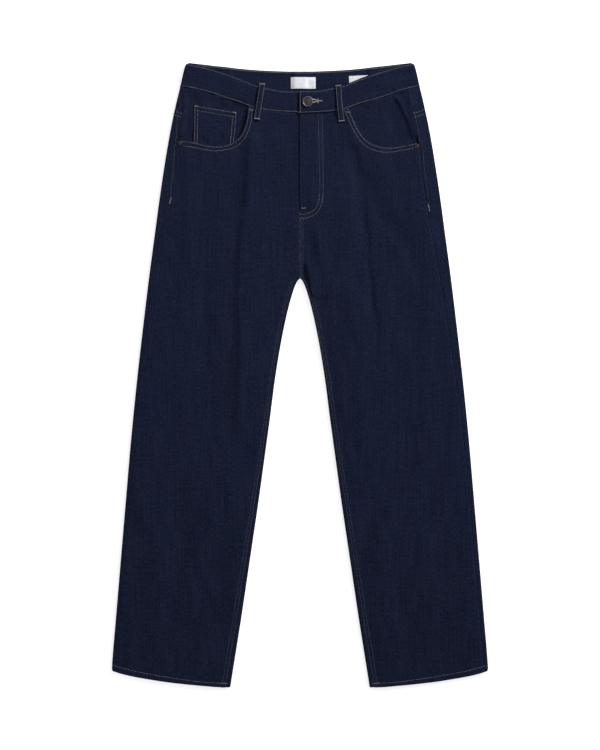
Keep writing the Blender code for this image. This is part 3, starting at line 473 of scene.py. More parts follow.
def denimMaterial(name, reverse=False):
    material, nodes, shader = newMaterial(name, Roughness=0.86, Specular_IOR_Level=0.02)
    nodes.put(shader, Sheen_Weight=denim["sheen"], Sheen_Roughness=0.45)
    grain = nodes.add("ShaderNodeUVMap", uv_map="grain").outputs["UV"]
    slub = nodes.noise(nodes.stretched(grain, denim["slub"]), 1.0, 3.0, 0.6)
    cloud = nodes.noise(nodes.stretched(grain, (38.0, 14.0, 1.0)), 1.0, 3.0, 0.55)
    streak = nodes.noise(nodes.stretched(grain, (420.0, 12.0, 1.0)), 1.0, 2.0, 0.5)
    twill = nodes.add("ShaderNodeTexWave", wave_type="BANDS", bands_direction="X", wave_profile="SIN")
    turned = nodes.stretched(grain, (1.0, 1.0, 1.0), math.radians(27))
    twillScale = 0.05 * 2 * math.pi / denim["twillPitch"]
    nodes.put(twill, Vector=turned, Scale=twillScale, Distortion=1.2, Detail=2.0, Detail_Scale=2.0)
    lines = twill.outputs["Fac"]
    weft = nodes.noise(nodes.stretched(grain, (26.0, 400.0, 1.0)), 1.0, 2.0, 0.5)
    amount = nodes.maths("MULTIPLY", nodes.ramp(slub, 0.36, 0.64), denim["slubShare"])
    for pattern, share, low, high in (
        (streak, "streakShare", 0.34, 0.66),
        (weft, "weftShare", 0.34, 0.66),
        (cloud, "cloudShare", 0.3, 0.7),
    ):
        part = nodes.maths("MULTIPLY", nodes.ramp(pattern, low, high), denim[share])
        amount = nodes.maths("ADD", amount, part)
    amount = nodes.maths("ADD", amount, nodes.maths("MULTIPLY", lines, denim["twillShare"]))
    first, second = ("reverseDark", "reverseLight") if reverse else ("dark", "light")
    shade = nodes.blend(amount, denim[first], denim[second])
    if not reverse:
        worn = nodes.add("ShaderNodeAttribute", attribute_name="rubbed").outputs["Fac"]
        worn = nodes.maths("MULTIPLY", worn, nodes.ramp(slub, 0.25, 0.75))
        shade = nodes.blend(worn, shade, denim["rubbed"])
    nodes.put(shader, Base_Color=shade)
    weave = nodes.maths("ADD", nodes.maths("MULTIPLY", lines, 0.5), slub)
    nodes.put(shader, Normal=nodes.bump(weave, 0.00022, 0.7))
    return material


denimFace = denimMaterial("denim")
denimReverse = denimMaterial("denimReverse", True)

thread = {
    "tan": colour(137, 132, 130),
    "dim": colour(66, 67, 78),  # of the sides, inside legs, rise and fly, close to the denim's tone
    "tack": colour(134, 127, 122),
    "cream": colour(176, 166, 146),
}


def threadMaterial(name, tone):
    material, nodes, shader = newMaterial(name, Roughness=0.62, Sheen_Weight=0.15, Sheen_Roughness=0.4)
    place = nodes.add("ShaderNodeTexCoord").outputs["Object"]
    fibre = nodes.noise(nodes.stretched(place, (2600.0, 2600.0, 2600.0)), 1.0, 2.0)
    length = nodes.noise(nodes.stretched(place, (60.0, 60.0, 60.0)), 1.0, 2.0)
    dark = tuple(c * 0.55 for c in tone[:3]) + (1.0,)
    amount = nodes.ramp(nodes.maths("ADD", fibre, length), 0.7, 1.3)
    nodes.put(shader, Base_Color=nodes.blend(amount, dark, tone))
    nodes.put(shader, Normal=nodes.bump(fibre, 0.0001, 0.5))
    return material


threadTan = threadMaterial("threadTan", thread["tan"])
threadDim = threadMaterial("threadDim", thread["dim"])
threadTack = threadMaterial("threadTack", thread["tack"])
threadCream = threadMaterial("threadCream", thread["cream"])


def metalMaterial(name, tone, worn, roughness):
    material, nodes, shader = newMaterial(name, Metallic=0.85)
    place = nodes.add("ShaderNodeTexCoord").outputs["Object"]
    patch = nodes.noise(nodes.stretched(place, (420.0, 420.0, 420.0)), 1.0, 4.0, 0.6)
    grit = nodes.noise(nodes.stretched(place, (3000.0, 3000.0, 3000.0)), 1.0, 2.0)
    edge = nodes.add("ShaderNodeNewGeometry").outputs["Pointiness"]
    amount = nodes.maths("MAXIMUM", nodes.ramp(edge, 0.505, 0.56), nodes.ramp(patch, 0.5, 0.8, 0.0, 0.5))
    nodes.put(shader, Base_Color=nodes.blend(amount, tone, worn))
    nodes.put(shader, Roughness=nodes.ramp(patch, 0.3, 0.7, roughness - 0.08, roughness + 0.1))
    nodes.put(shader, Normal=nodes.bump(grit, 0.00006, 0.5))
    return material


bronze = metalMaterial("antiqueBronze", colour(70, 65, 69), colour(116, 108, 110), 0.42)
copper = metalMaterial("antiqueCopper", colour(47, 43, 46), colour(70, 64, 65), 0.58)
toothMetal = metalMaterial("zipTeeth", colour(120, 100, 70), colour(190, 165, 120), 0.35)


def labelMaterial():
    material, nodes, shader = newMaterial("labelCloth", Roughness=0.7, Sheen_Weight=0.2, Sheen_Roughness=0.5)
    grain = nodes.add("ShaderNodeUVMap", uv_map="grain").outputs["UV"]
    warp = nodes.add("ShaderNodeTexWave", wave_type="BANDS", bands_direction="Y")
    nodes.put(warp, Vector=grain, Scale=900.0, Distortion=0.6, Detail=1.0)
    soft = nodes.noise(nodes.stretched(grain, (300.0, 90.0, 1.0)), 1.0, 3.0)
    shade = nodes.blend(nodes.ramp(soft, 0.3, 0.7), colour(208, 207, 211), colour(222, 221, 225))
    nodes.put(shader, Base_Color=shade)
    nodes.put(shader, Normal=nodes.bump(nodes.maths("ADD", warp.outputs["Fac"], soft), 0.0001, 0.5))
    return material


def tapeMaterial():
    material, nodes, shader = newMaterial("zipTape", Roughness=0.8)
    place = nodes.add("ShaderNodeTexCoord").outputs["Object"]
    rib = nodes.add("ShaderNodeTexWave", wave_type="BANDS", bands_direction="Y")
    nodes.put(rib, Vector=place, Scale=300.0, Distortion=0.4)
    nodes.put(shader, Base_Color=nodes.blend(rib.outputs["Fac"], colour(16, 19, 30), colour(30, 34, 48)))
    nodes.put(shader, Normal=nodes.bump(rib.outputs["Fac"], 0.0002, 0.6))
    return material


labelCloth = labelMaterial()
zipTape = tapeMaterial()
print("materials ready")


def newObject(name, data):
    made = bpy.data.objects.new(name, data)
    bpy.context.scene.collection.objects.link(made)
    return made


def fillPlan(loop, paths=(), coarse=3.2, fine=1.2, reach=3.0):
    # Triangles over a closed line in plan, finer near the rows of sewing
    loop = np.array(loop, float)
    low, high = loop.min(0), loop.max(0)
    ring = [np.vstack((loop, loop[:1]))]

    def lattice(spacing):
        rows = np.arange(low[1], high[1], spacing * 0.866)
        columns = np.arange(low[0], high[0], spacing)
        x, y = np.meshgrid(columns, rows)
        x = x + (np.arange(len(rows)) % 2)[:, None] * spacing / 2
        return np.column_stack((x.ravel(), y.ravel()))

    spots = lattice(coarse)
    spots = spots[isInside(loop, spots[:, 0], spots[:, 1])]
    spots = spots[distanceTo(ring, spots[:, 0], spots[:, 1]) > 0.5 * coarse]
    if len(paths):
        thin = [line[:: max(1, int(2.5 / max(0.1, np.hypot(*(line[1] - line[0])))))] for line in paths]
        thin = [line if len(line) > 1 else full[[0, -1]] for line, full in zip(thin, paths)]
        spots = spots[distanceTo(thin, spots[:, 0], spots[:, 1]) > reach + 0.3 * coarse]
        close = lattice(fine)
        close = close[isInside(loop, close[:, 0], close[:, 1])]
        close = close[distanceTo(thin, close[:, 0], close[:, 1]) < reach]
        close = close[distanceTo(ring, close[:, 0], close[:, 1]) > 0.45 * fine]
        spots = np.vstack((spots, close))
    plan = [Vector(p) for p in np.vstack((loop, spots)).tolist()]
    count = len(loop)
    edges = [(i, (i + 1) % count) for i in range(count)]
    made = delaunay_2d_cdt(plan, edges, [list(range(count))], 1, 1e-5)
    given = np.vstack((loop, spots))
    points = np.array([given[old[0]] if old else tuple(p) for p, old in zip(made[0], made[3])])
    faces = np.array(made[2])
    used = np.unique(faces)
    order = np.full(len(points), -1)
    order[used] = np.arange(len(used))
    faces, points = order[faces], points[used]
    a, b, c = (points[faces[:, i]] for i in range(3))
    turned = np.cross(b - a, c - a) < 0
    faces[turned] = faces[turned][:, ::-1]
    return points, faces


def joinParts(parts):  # several (points, faces, grain) made one, with shared edges welded
    points = np.vstack([p for p, _, _ in parts])
    grain = np.vstack([g for _, _, g in parts])
    faces, offset = [], 0
    for p, f, _ in parts:
        faces += [[int(i) + offset for i in face] for face in f]
        offset += len(p)
    _, first, number = np.unique(np.round(points, 3), axis=0, return_index=True, return_inverse=True)
    number = number.ravel()
    kept = []
    for face in faces:
        face = [int(number[i]) for i in face]
        face = [v for i, v in enumerate(face) if v != face[i - 1]]
        if len(face) > 2:
            kept.append(face)
    return points[first], kept, grain[first]


def gridFaces(rows, columns, flipped=False):
    i = np.arange(rows - 1)[:, None] * columns + np.arange(columns - 1)
    faces = np.stack((i, i + 1, i + columns + 1, i + columns), -1).reshape(-1, 4)
    return faces[:, ::-1] if flipped else faces


def newellNormals(points, faces):
    total = np.zeros_like(points)
    for size in {len(face) for face in faces}:
        group = np.array([face for face in faces if len(face) == size])
        normal = np.zeros((len(group), 3))
        for i in range(size):
            normal += np.cross(points[group[:, i]], points[group[:, (i + 1) % size]])
        for i in range(size):
            np.add.at(total, group[:, i], normal)
    return total / np.maximum(np.linalg.norm(total, axis=1, keepdims=True), 1e-12)


def clothShell(name, points, faces, wall, grain, materials, rubbed=None, rim=4):
    # A closed wall behind an outer face, with a rounded edge all round
    points = np.array(points, float)
    faces = [list(map(int, face)) for face in faces]
    wall = np.broadcast_to(np.asarray(wall, float), (len(points),)).copy()
    normal = newellNormals(points, faces)
    count = len(points)
    inner = points - normal * wall[:, None]
    edges = {}
    for face in faces:
        for i, a in enumerate(face):
            edges.setdefault((a, face[(i + 1) % len(face)]), 0)
    border = [(a, b) for a, b in edges if (b, a) not in edges]
    outward = np.zeros_like(points)
    for a, b in border:
        way = np.cross(points[b] - points[a], normal[a] + normal[b])
        outward[a] += way
        outward[b] += way
    outward /= np.maximum(np.linalg.norm(outward, axis=1, keepdims=True), 1e-12)
    onBorder = sorted({v for edge in border for v in edge})
    place = {v: i for i, v in enumerate(onBorder)}
    ids = np.array(onBorder)
    rings = []
    radius = wall[ids, None] / 2
    centre = points[ids] - normal[ids] * radius
    for step in range(1, rim):
        angle = math.pi * step / rim
        rings.append(centre + radius * (math.cos(angle) * normal[ids] + math.sin(angle) * outward[ids]))
    allPoints = np.vstack([points, inner] + rings)
    allFaces = faces + [[i + count for i in face[::-1]] for face in faces]
    slots = [0] * len(faces) + [len(materials) - 1] * len(faces)
    base = 2 * count
    for a, b in border:
        chainA = [a] + [base + k * len(ids) + place[a] for k in range(rim - 1)] + [a + count]
        chainB = [b] + [base + k * len(ids) + place[b] for k in range(rim - 1)] + [b + count]
        for k in range(rim):
            allFaces.append([chainB[k], chainA[k], chainA[k + 1], chainB[k + 1]])
            slots.append(0)
    mesh = bpy.data.meshes.new(name)
    mesh.from_pydata((allPoints * mm).tolist(), [], allFaces)
    for material in materials:
        mesh.materials.append(material)
    mesh.polygons.foreach_set("material_index", slots)
    mesh.polygons.foreach_set("use_smooth", [True] * len(allFaces))
    allGrain = np.vstack([grain, grain] + [grain[ids]] * (rim - 1)) * mm
    vertex = np.empty(len(mesh.loops), int)
    mesh.loops.foreach_get("vertex_index", vertex)
    mesh.uv_layers.new(name="grain").data.foreach_set("uv", allGrain[vertex].astype(np.float32).ravel())
    if rubbed is None:
        rubbed = np.zeros(count)
    worn = np.concatenate([rubbed, rubbed * 0.3] + [rubbed[ids]] * (rim - 1))
    mesh.attributes.new("rubbed", "FLOAT", "POINT").data.foreach_set("value", worn.astype(np.float32))
    mesh.update()
    return newObject(name, mesh)


def declare(piece, nodes):
    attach(piece, "root")
    if nodes:
        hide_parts(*nodes)
    return piece


# Sewing: rows of stitches are kept here as lines in space and made by Geometry Nodes further down
sewing = {"stitch": 3.1, "gap": 0.55, "thread": 0.56, "sink": 0.3, "groove": 1.0, "depth": 0.3}
stitchRows = []
dimRows = []
tackRows = []
holeRows = []


def sewOn(lines, height, sign=1, lift=0.0, kept=stitchRows):  # plan lines lifted on to a face
    for line in lines:
        fine = walk(line, 0.8, smooth=False)
        z = height(fine[:, 0], fine[:, 1]) + sign * (sewing["thread"] / 2 - sewing["sink"] + lift)
        kept.append(np.column_stack((fine, z)))


def grooved(height, lines, sign=1):  # a face with the dents that its sewing pulls in
    def dented(x, y):
        dent = np.exp(-((distanceTo(lines, x, y) / sewing["groove"]) ** 2)) if len(lines) else 0.0
        return height(x, y) - sign * sewing["depth"] * dent

    return dented


def zigzag(start, end, width, count):  # a bar tack: thread laid to and fro across a short line
    start, end = np.array(start, float), np.array(end, float)
    ahead = (end - start) / np.linalg.norm(end - start)
    across = np.array([-ahead[1], ahead[0]])
    t = np.linspace(0, 1, count)
    sign = np.where(np.arange(count) % 2 == 0, 1, -1)[:, None]
    return start + t[:, None] * (end - start) + sign * across * width / 2


def tackOn(start, end, height, width=1.5, lift=0.25):
    length = math.dist(start, end)
    line = zigzag(start, end, width, max(6, int(length / 0.42)))
    fine = walk(line, 0.6, smooth=False)
    z = height(fine[:, 0], fine[:, 1]) + lift
    tackRows.append(np.column_stack((fine, z)))


def closedLoop(*lines):  # one closed line from several that meet end to end
    joined = [np.array(lines[0], float)]
    for line in lines[1:]:
        line = np.array(line, float)
        start = 1 if np.hypot(*(line[0] - joined[-1][-1])) < 0.4 else 0
        joined.append(line[start:])
    loop = np.vstack(joined)
    if np.hypot(*(loop[0] - loop[-1])) < 0.4:
        loop = loop[:-1]
    return loop


def shrunk(loop, inset):  # a closed line moved inwards
    loop = np.array(loop, float)
    x, y = loop[:, 0], loop[:, 1]
    turn = 1.0 if np.sum(x * np.roll(y, -1) - y * np.roll(x, -1)) > 0 else -1.0
    before, after = loop - np.roll(loop, 1, axis=0), np.roll(loop, -1, axis=0) - loop
    before /= np.maximum(np.linalg.norm(before, axis=1, keepdims=True), 1e-9)
    after /= np.maximum(np.linalg.norm(after, axis=1, keepdims=True), 1e-9)
    left = np.column_stack((-(before + after)[:, 1], (before + after)[:, 0])) * turn
    size = np.maximum(np.linalg.norm(left, axis=1, keepdims=True), 0.6)
    left = left / size * np.minimum(2.0 / size, 1.6)
    return loop + left * np.broadcast_to(np.asarray(inset, float), (len(loop),))[:, None]


def clothPiece(name, points, faces, wall, grain, materials, rubbed=None):
    # A shell of cloth
    piece = clothShell(name + "_cloth", points, faces, wall, grain, materials, rubbed)
    return piece


def sideSeamLine(side, shift):
    y = evenSteps(476.0, laid["hemOuterY"] - 14.0, 2.2)
    return np.column_stack(insetFrom(outerEdge, y, sideSeamInset[side](y) + shift))


def insideSeamLine(inset, top=None):
    y = laid["crotch"] - np.linspace(0, 5, 15) ** 2
    y = np.concatenate((y, evenSteps(y[-1], laid["hemInnerY"], 2.2)[1:]))
    if top is not None:
        y = y[y < top]
    return np.column_stack(insetFrom(innerEdge, y, inset(y) if callable(inset) else inset))


def cutAtHem(line):
    line = line[line[:, 1] > hemEdge(line[:, 0]) + 0.4]
    foot = line[-1] + (line[-1] - line[-2])
    return np.vstack((line, [foot[0], float(hemEdge(foot[0]))]))


legFront = {
    "mouth": {
        -1: [(85.3, 442.0), (86.6, 428.0), (89.6, 413.0), (94.6, 401.6), (104.4, 388.0), (117.0, 380.6),
             (137.8, 377.2), (161.0, 380.2), (180.0, 385.6)],
        1: [(80.0, 440.3), (84.4, 430.0), (89.4, 419.0), (95.6, 407.0), (108.6, 388.4), (127.8, 378.0),
            (151.9, 375.6), (172.0, 378.9)],
    },
    "mouthFoot": {-1: 387.0, 1: 382.5},
    "mouthRows": {  # the two rows of sewing below the mouth's edge
        -1: ([(-193.1, 384.4), (-183.7, 383.6), (-172.0, 381.4), (-161.4, 378.4), (-149.5, 376.2), (-137.8, 375.3),
              (-125.9, 376.3), (-116.5, 378.7), (-109.4, 381.9), (-103.7, 386.0), (-97.7, 391.3), (-92.0, 400.8),
              (-87.6, 412.5), (-84.9, 426.7), (-83.3, 439.0)],
             [(-191.9, 377.7), (-170.8, 374.3), (-149.5, 370.3), (-137.0, 369.6), (-125.9, 370.6), (-113.0, 373.2),
              (-105.5, 376.4), (-98.0, 382.0), (-90.0, 392.0), (-84.6, 403.0), (-80.8, 416.0), (-78.6, 438.0)]),
        1: ([(78.0, 438.0), (82.6, 429.0), (87.6, 417.8), (93.8, 405.4), (99.9, 395.2), (107.4, 386.8),
             (116.0, 380.5), (127.2, 376.2), (137.1, 374.0), (151.9, 373.4), (164.3, 375.0), (176.7, 377.6),
             (190.5, 381.0)],
            [(73.2, 436.0), (77.4, 427.6), (82.5, 415.5), (88.8, 402.5), (95.0, 391.9), (102.4, 382.6),
             (111.1, 375.6), (122.2, 370.6), (134.6, 367.6), (144.5, 367.0), (156.9, 368.2), (169.2, 370.6),
             (189.6, 374.4)]),
    },
    "insideRows": ([(158.6, 4.3), (-75.0, 4.9), (-207.0, 6.7), (-514.8, 8.6)],
                   [(158.6, 8.2), (-75.0, 8.9), (-207.0, 11.1), (-514.8, 14.0)]),
    "hemRow": [(118.7, -508.2), (138.5, -507.3), (155.0, -506.2), (171.5, -504.5), (188.0, -502.4), (204.5, -499.9),
               (221.0, -497.4), (237.5, -494.6), (254.0, -491.7), (270.5, -488.4), (287.0, -484.2), (303.5, -479.8)],
    "mouthWall": 1.9,
    "tacks": {
        -1: [((-83.4, 436.6), (-75.8, 436.0)), ((-130.2, -507.6), (-119.4, -508.4))],
        1: [((75.0, 433.0), (82.8, 432.4)), ((119.4, -508.4), (130.2, -507.6))],
    },
}
fly = {
    "edge": -0.7,
    "under": 8.0,
    "foot": 288.0,
    "innerRow": [(30.4, 430.6), (31.4, 360.0), (32.1, 300.0), (30.8, 285.3), (26.5, 275.6), (17.6, 268.3),
                 (8.4, 264.8), (1.4, 264.6)],
    "outerRow": [(36.9, 431.0), (37.6, 360.0), (38.1, 298.0), (36.9, 286.1), (33.3, 275.6), (27.3, 267.3),
                 (18.4, 261.2), (9.6, 258.5), (1.4, 258.3)],
    "riseRows": (1.3, 5.0),
    "tack": ((2.6, 274.8), (9.4, 274.8)),
}
hemRow = smoothTable(legFront["hemRow"])


def hemLine(start, end):
    x = evenSteps(start, end, 2.2)
    return np.column_stack((x, hemEdge(x)))


def makeFront(side):
    gap = laid["seamGap"] / 2
    half, hemHalf = laid["cloth"] / 2, laid["hemWall"] / 2
    name = "front_" + ("left" if side < 0 else "right")
    mouth = walk(legFront["mouth"][side], 2.0)
    foot = legFront["mouthFoot"][side]
    corner = np.array(insetFrom(outerEdge, foot, sideSeamInset[side](foot) + gap)).reshape(1, 2)
    start = -fly["under"] if side < 0 else fly["edge"]
    waistX = evenSteps(start, mouth[0, 0], 2.0)
    waist = np.column_stack((waistX, frontBandSeam[side](np.abs(waistX)) - gap))
    mouth[0] = waist[-1]
    seam = sideSeamLine(side, gap)
    seam = cutAtHem(seam[seam[:, 1] < foot - 2.0])
    inside = insideSeamLine(lambda y: insideSeamInset(y) + gap)
    inside[-1, 1] = float(hemEdge(inside[-1, 0]))
    rise = np.column_stack((np.full(60, gap), np.linspace(inside[0, 1], fly["foot"] - 12.0, 60)))
    if side < 0:
        flyLine = walk([(1.1, fly["foot"] + 4.0), (-fly["under"], fly["foot"] + 14.0)], 2.0, False)
        flyLine = np.vstack((flyLine, walk([flyLine[-1], waist[0]], 2.2, False)[1:]))
    else:
        flyLine = walk([(fly["edge"], fly["foot"] + 4.0), waist[0]], 2.2, False)
    hem = hemLine(seam[-1, 0], inside[-1, 0])
    loop = closedLoop(waist, mouth, corner, seam, hem, inside[::-1], rise, flyLine)
    inset = np.where(loop[:, 1] < hemEdge(loop[:, 0]) + laid["hemDepth"], hemHalf, half)
    inset = np.where(distanceTo([mouth], loop[:, 0], loop[:, 1]) < 0.5, legFront["mouthWall"] / 2, inset)
    loop = mirrored(shrunk(loop, inset), side)

    bright = [walk(line, 1.5) for line in legFront["mouthRows"][side]]
    dim = [mirrored(insideSeamLine(smoothTable(line), 152.0), side) for line in legFront["insideRows"]]
    hemX = evenSteps(119.0, 303.2, 1.5)
    bright.append(mirrored(np.column_stack((hemX, hemRow(hemX))), side))
    if side > 0:
        for row in (walk(fly["innerRow"], 1.5), walk(fly["outerRow"], 1.5)):
            dim.append(row[row[:, 1] > 296.0])
            bright.append(row[row[:, 1] < 297.0])
        dim += [walk([(x, 256.0), (x, 163.5 + x / 3)], 1.5, False) for x in fly["riseRows"]]
    rows = bright + dim
    height = grooved(lambda x, y: frontHeight(side, x, y), rows)

    plan, faces = fillPlan(loop, rows)
    x, y = plan.T
    z = height(x, y)
    hemPart = ease((hemEdge(np.abs(x)) + laid["hemDepth"] + 1.0 - y) / 1.5)
    mouthAway = distanceTo([mirrored(mouth, side)], x, y)
    wall = laid["cloth"] + (laid["hemWall"] - laid["cloth"]) * hemPart
    wall = np.maximum(wall, mix(legFront["mouthWall"], laid["cloth"], ease((mouthAway - 7.0) / 2.0)))
    rubbed = 0.5 * np.exp(-((rimDistance(loop, x, y) / 1.6) ** 2))
    rubbed = rubbed + 0.3 * np.exp(-((distanceTo(rows, x, y) / 1.8) ** 2))
    points = np.column_stack((plan, z))
    piece = clothPiece(name, points, faces, wall, plan, [denimFace, denimReverse], rubbed)
    sewOn(bright, height)
    sewOn(dim, height, kept=dimRows)
    for start, end in legFront["tacks"][side]:
        tackOn(start, end, height, 1.2)
    if side > 0:
        tackOn(*fly["tack"], height, 1.2)
    return piece


def foldColumns(radius, stripShares, steps=9):
    # (share of the strip or None, inset, height, arc), from the seam round to the underside
    columns = [(share, None, None, None) for share in stripShares]
    for angle in np.linspace(math.pi / 2, -math.pi / 2, steps):
        columns.append((None, radius - radius * math.cos(angle), radius + radius * math.sin(angle),
                        radius * (math.pi / 2 - angle)))
    return columns


def stripReach(side, share):  # how far in from the outer fold a line of the strip up to the side seam runs
    gap, half = laid["seamGap"] / 2, laid["cloth"] / 2

    def reach(y):
        return mix(sideSeamInset[side](y) - gap - half, laid["foldRadius"], share)

    return reach


def foldColumn(side, y, reach, z, arc, topFace):  # one column's points and their place in the grain
    at = y.copy()
    for _ in range(3):
        _, py = insetFrom(outerEdge, at, reach(at) if callable(reach) else reach)
        at = at + (y - py)
    x = side * insetFrom(outerEdge, at, reach(at) if callable(reach) else reach)[0]
    height = topFace(x, y) if z is None else np.full(len(y), z)
    across = np.abs(x) if arc is None else outerEdge(at) - laid["foldRadius"] + arc
    return np.column_stack((x, y, height)), np.column_stack((side * across, y))


def gridPart(rows, grain, flipped):
    return rows.reshape(-1, 3), gridFaces(*rows.shape[:2], flipped), grain.reshape(-1, 2)


def underPart(side, plan, z, faces):  # the flat part that the jeans lie on
    across = 2 * outerEdge(plan[:, 1]) + laid["foldWay"] - np.abs(plan[:, 0])
    return np.column_stack((plan, z)), faces[:, ::-1], np.column_stack((side * across, plan[:, 1]))


legBack = {
    "stripColumns": 12,
    "innerColumns": 3,
    "rowSpacing": 2.4,
    "yokeRows": (2.6, 9.0),
    "seatRows": (3.0, 9.0),
    "hemRowAbove": 8.0,
}


def makeBack(side):
    name = "back_" + ("left" if side < 0 else "right")
    gap, half, hemHalf, r = laid["seamGap"] / 2, laid["cloth"] / 2, laid["hemWall"] / 2, laid["foldRadius"]
    sideRow = mirrored([(abs(x), y) for x, y in sideSeam["rows"][side]], side)
    strip = [walk(sideRow, 1.5)] + [walk(line, 1.5) for line in sideSeam["yokeRows"][side]]
    hemX = evenSteps(304.0, 308.5, 1.5)
    strip.append(mirrored(np.column_stack((hemX, -479.6 + (hemX - 304.0) * 0.3)), side))
    topFace = grooved(overHeight, strip[:1])
    s = np.concatenate((np.linspace(0, 0.985, int(925 / legBack["rowSpacing"])), np.linspace(0.9875, 1, 8)))

    columns, grains = [], []
    shares = np.linspace(0, 1, legBack["stripColumns"], endpoint=False)
    for share, inset, z, arc in foldColumns(r, shares):
        if inset is None:
            reach = stripReach(side, share)
            topInset, footX = float(reach(440.0)), laid["hemOuter"] - float(reach(-484.0))
        else:
            reach, topInset, footX = inset, inset, laid["hemOuter"] - inset
        top = laid["yokeEdgeY"] - 0.3 * topInset
        if z is not None and z < r:
            top = mix(laid["yokeEdgeY"], float(yokeSeam(206.5 - topInset)), float(ease(topInset / r)))
        foot = float(hemEdge(footX)) + hemHalf
        spots, grain = foldColumn(side, mix(top - gap - half, foot, s), reach, z, arc, topFace)
        columns.append(spots)
        grains.append(grain)
    outerRows = np.stack(columns, 1)
    outerGrain = np.stack(grains, 1)

    legLength = laid["crotch"] - laid["hemInnerY"]
    sInner = np.concatenate((np.linspace(0, 5, 15) ** 2, np.linspace(25, legLength, 270)[1:]))
    yEdge = laid["crotch"] - sInner
    share0 = sInner / sInner[-1]
    columns, grains = [], []
    for share, inset, z, arc in foldColumns(r, np.linspace(0, 1, legBack["innerColumns"], endpoint=False)):
        reach = mix(insideSeamInset(yEdge) - gap - half, r, share) if inset is None else inset
        x, y = insetFrom(innerEdge, yEdge, reach)
        x = np.maximum(x, gap + half)
        y = y + (float(hemEdge(max(x[-1], laid["hemInner"]))) + hemHalf - y[-1]) * share0**3
        height = overHeight(side * x, y) if z is None else np.full(len(y), z)
        past = reach - r + math.pi * r if z is None else math.pi * r - arc
        along = 2 * outerEdge(y) + laid["foldWay"] - innerEdge(yEdge) - r + past
        columns.append(np.column_stack((side * x, y, height)))
        grains.append(np.column_stack((side * along, y)))
    innerRows = np.stack(columns, 1)
    innerGrain = np.stack(grains, 1)

    outside, inside = outerRows[:, -1, :2] * [side, 1], innerRows[:, -1, :2] * [side, 1]
    hemX = evenSteps(outside[-1, 0], inside[-1, 0], 4.0)
    hem = np.column_stack((hemX, hemEdge(hemX) + hemHalf))
    hem[-1] = inside[-1]
    topX = evenSteps(gap + half, outside[0, 0], 4.0)
    top = np.column_stack((topX, yokeSeam(topX) - gap - half))
    centre = walk([inside[0], top[0]], 4.0, False)
    loop = closedLoop(outside, hem, inside[::-1], centre, top[:-1])
    yokeX = np.arange(3.0, 200.0, 3.0)
    yokeRows = [np.column_stack((yokeX, yokeSeam(yokeX) - down)) for down in legBack["yokeRows"]]
    hemRowX = np.arange(118.0, 306.0, 3.0)
    underRows = [mirrored(line, side) for line in yokeRows]
    underRows.append(mirrored(np.column_stack((hemRowX, hemEdge(hemRowX) + legBack["hemRowAbove"])), side))
    if side > 0:
        seatY = np.linspace(396.0, 166.0, 80)
        underRows += [np.column_stack((np.full(80, x), seatY)) for x in legBack["seatRows"]]

    def plainUnder(x, y):
        crease = 0.5 * np.maximum(0, ripples(x, y, 90, 320, 31)) * ease((depthIn(x, y) - 6) / 40)
        return np.maximum(underHeight(x, y), crease)

    underFace = grooved(plainUnder, underRows, -1)
    plan, faces = fillPlan(mirrored(loop, side), underRows, 4.6, 1.9, 2.6)
    z = np.maximum(underFace(plan[:, 0], plan[:, 1]), 0.0)
    rim = rimDistance(loop, np.abs(plan[:, 0]), plan[:, 1])
    z = np.where(rim < 0.01, np.where(plan[:, 1] > 380, underHeight(plan[:, 0], plan[:, 1]), 0.0), z)
    parts = [gridPart(outerRows, outerGrain, side > 0), gridPart(innerRows, innerGrain, side < 0)]
    points, faces, grain = joinParts(parts + [underPart(side, plan, z, faces)])
    hemPart = ease((hemEdge(np.abs(points[:, 0])) + laid["hemDepth"] + 1.0 - points[:, 1]) / 1.5)
    wall = laid["cloth"] + (laid["hemWall"] - laid["cloth"]) * hemPart
    edge = outerEdge(points[:, 1]) - np.abs(points[:, 0])
    sewn = distanceTo(strip, points[:, 0], points[:, 1])
    rubbed = 0.25 * np.exp(-((edge / 1.5) ** 2)) + 0.25 * np.exp(-((sewn / 1.8) ** 2))
    piece = clothPiece(name, points, faces, wall, grain, [denimFace, denimReverse], rubbed)
    sewOn(strip[:1], topFace, 1, 0.12, dimRows)
    sewOn(strip[1:], topFace, 1, 0.28)
    sewOn(underRows, underFace, -1)
    tackOn(*sideSeam["tacks"][side], topFace, 1.6)
    return piece


sideSeam = {
    "rows": {
        -1: [(-201.8, 435.0), (-202.6, 415.5), (-204.0, 392.3), (-206.0, 374.6), (-207.3, 360.9),
             (-209.0, 333.5), (-211.2, 315.7), (-213.1, 299.4), (-214.9, 285.7)],
        1: [(188.4, 434.0), (190.6, 424.5), (193.8, 408.4), (197.3, 392.3), (200.0, 382.4), (202.4, 368.3),
            (204.3, 346.5), (207.8, 317.8), (211.0, 292.4), (213.6, 277.4)],
    },
    "yokeRows": {
        -1: [[(-207.0, 434.6), (-200.0, 432.0), (-195.6, 430.6)],
             [(-208.4, 429.0), (-202.0, 426.6), (-197.6, 425.2)]],
        1: [[(188.0, 431.4), (197.0, 434.0), (204.6, 437.0)],
            [(189.6, 424.6), (198.0, 427.6), (206.4, 430.6)]],
    },
    "tacks": {-1: ((-212.2, 292.4), (-214.6, 282.4)), 1: ((210.8, 281.4), (213.4, 269.4))},
}

yoke = {
    "rows": 14,
    "stripColumns": 12,
    "sideRow": {
        -1: [(199.8, 452.0), (198.6, 462.0), (196.9, 471.0)],
        1: [(186.2, 446.0), (183.6, 458.0), (180.6, 470.0)],
    },
}


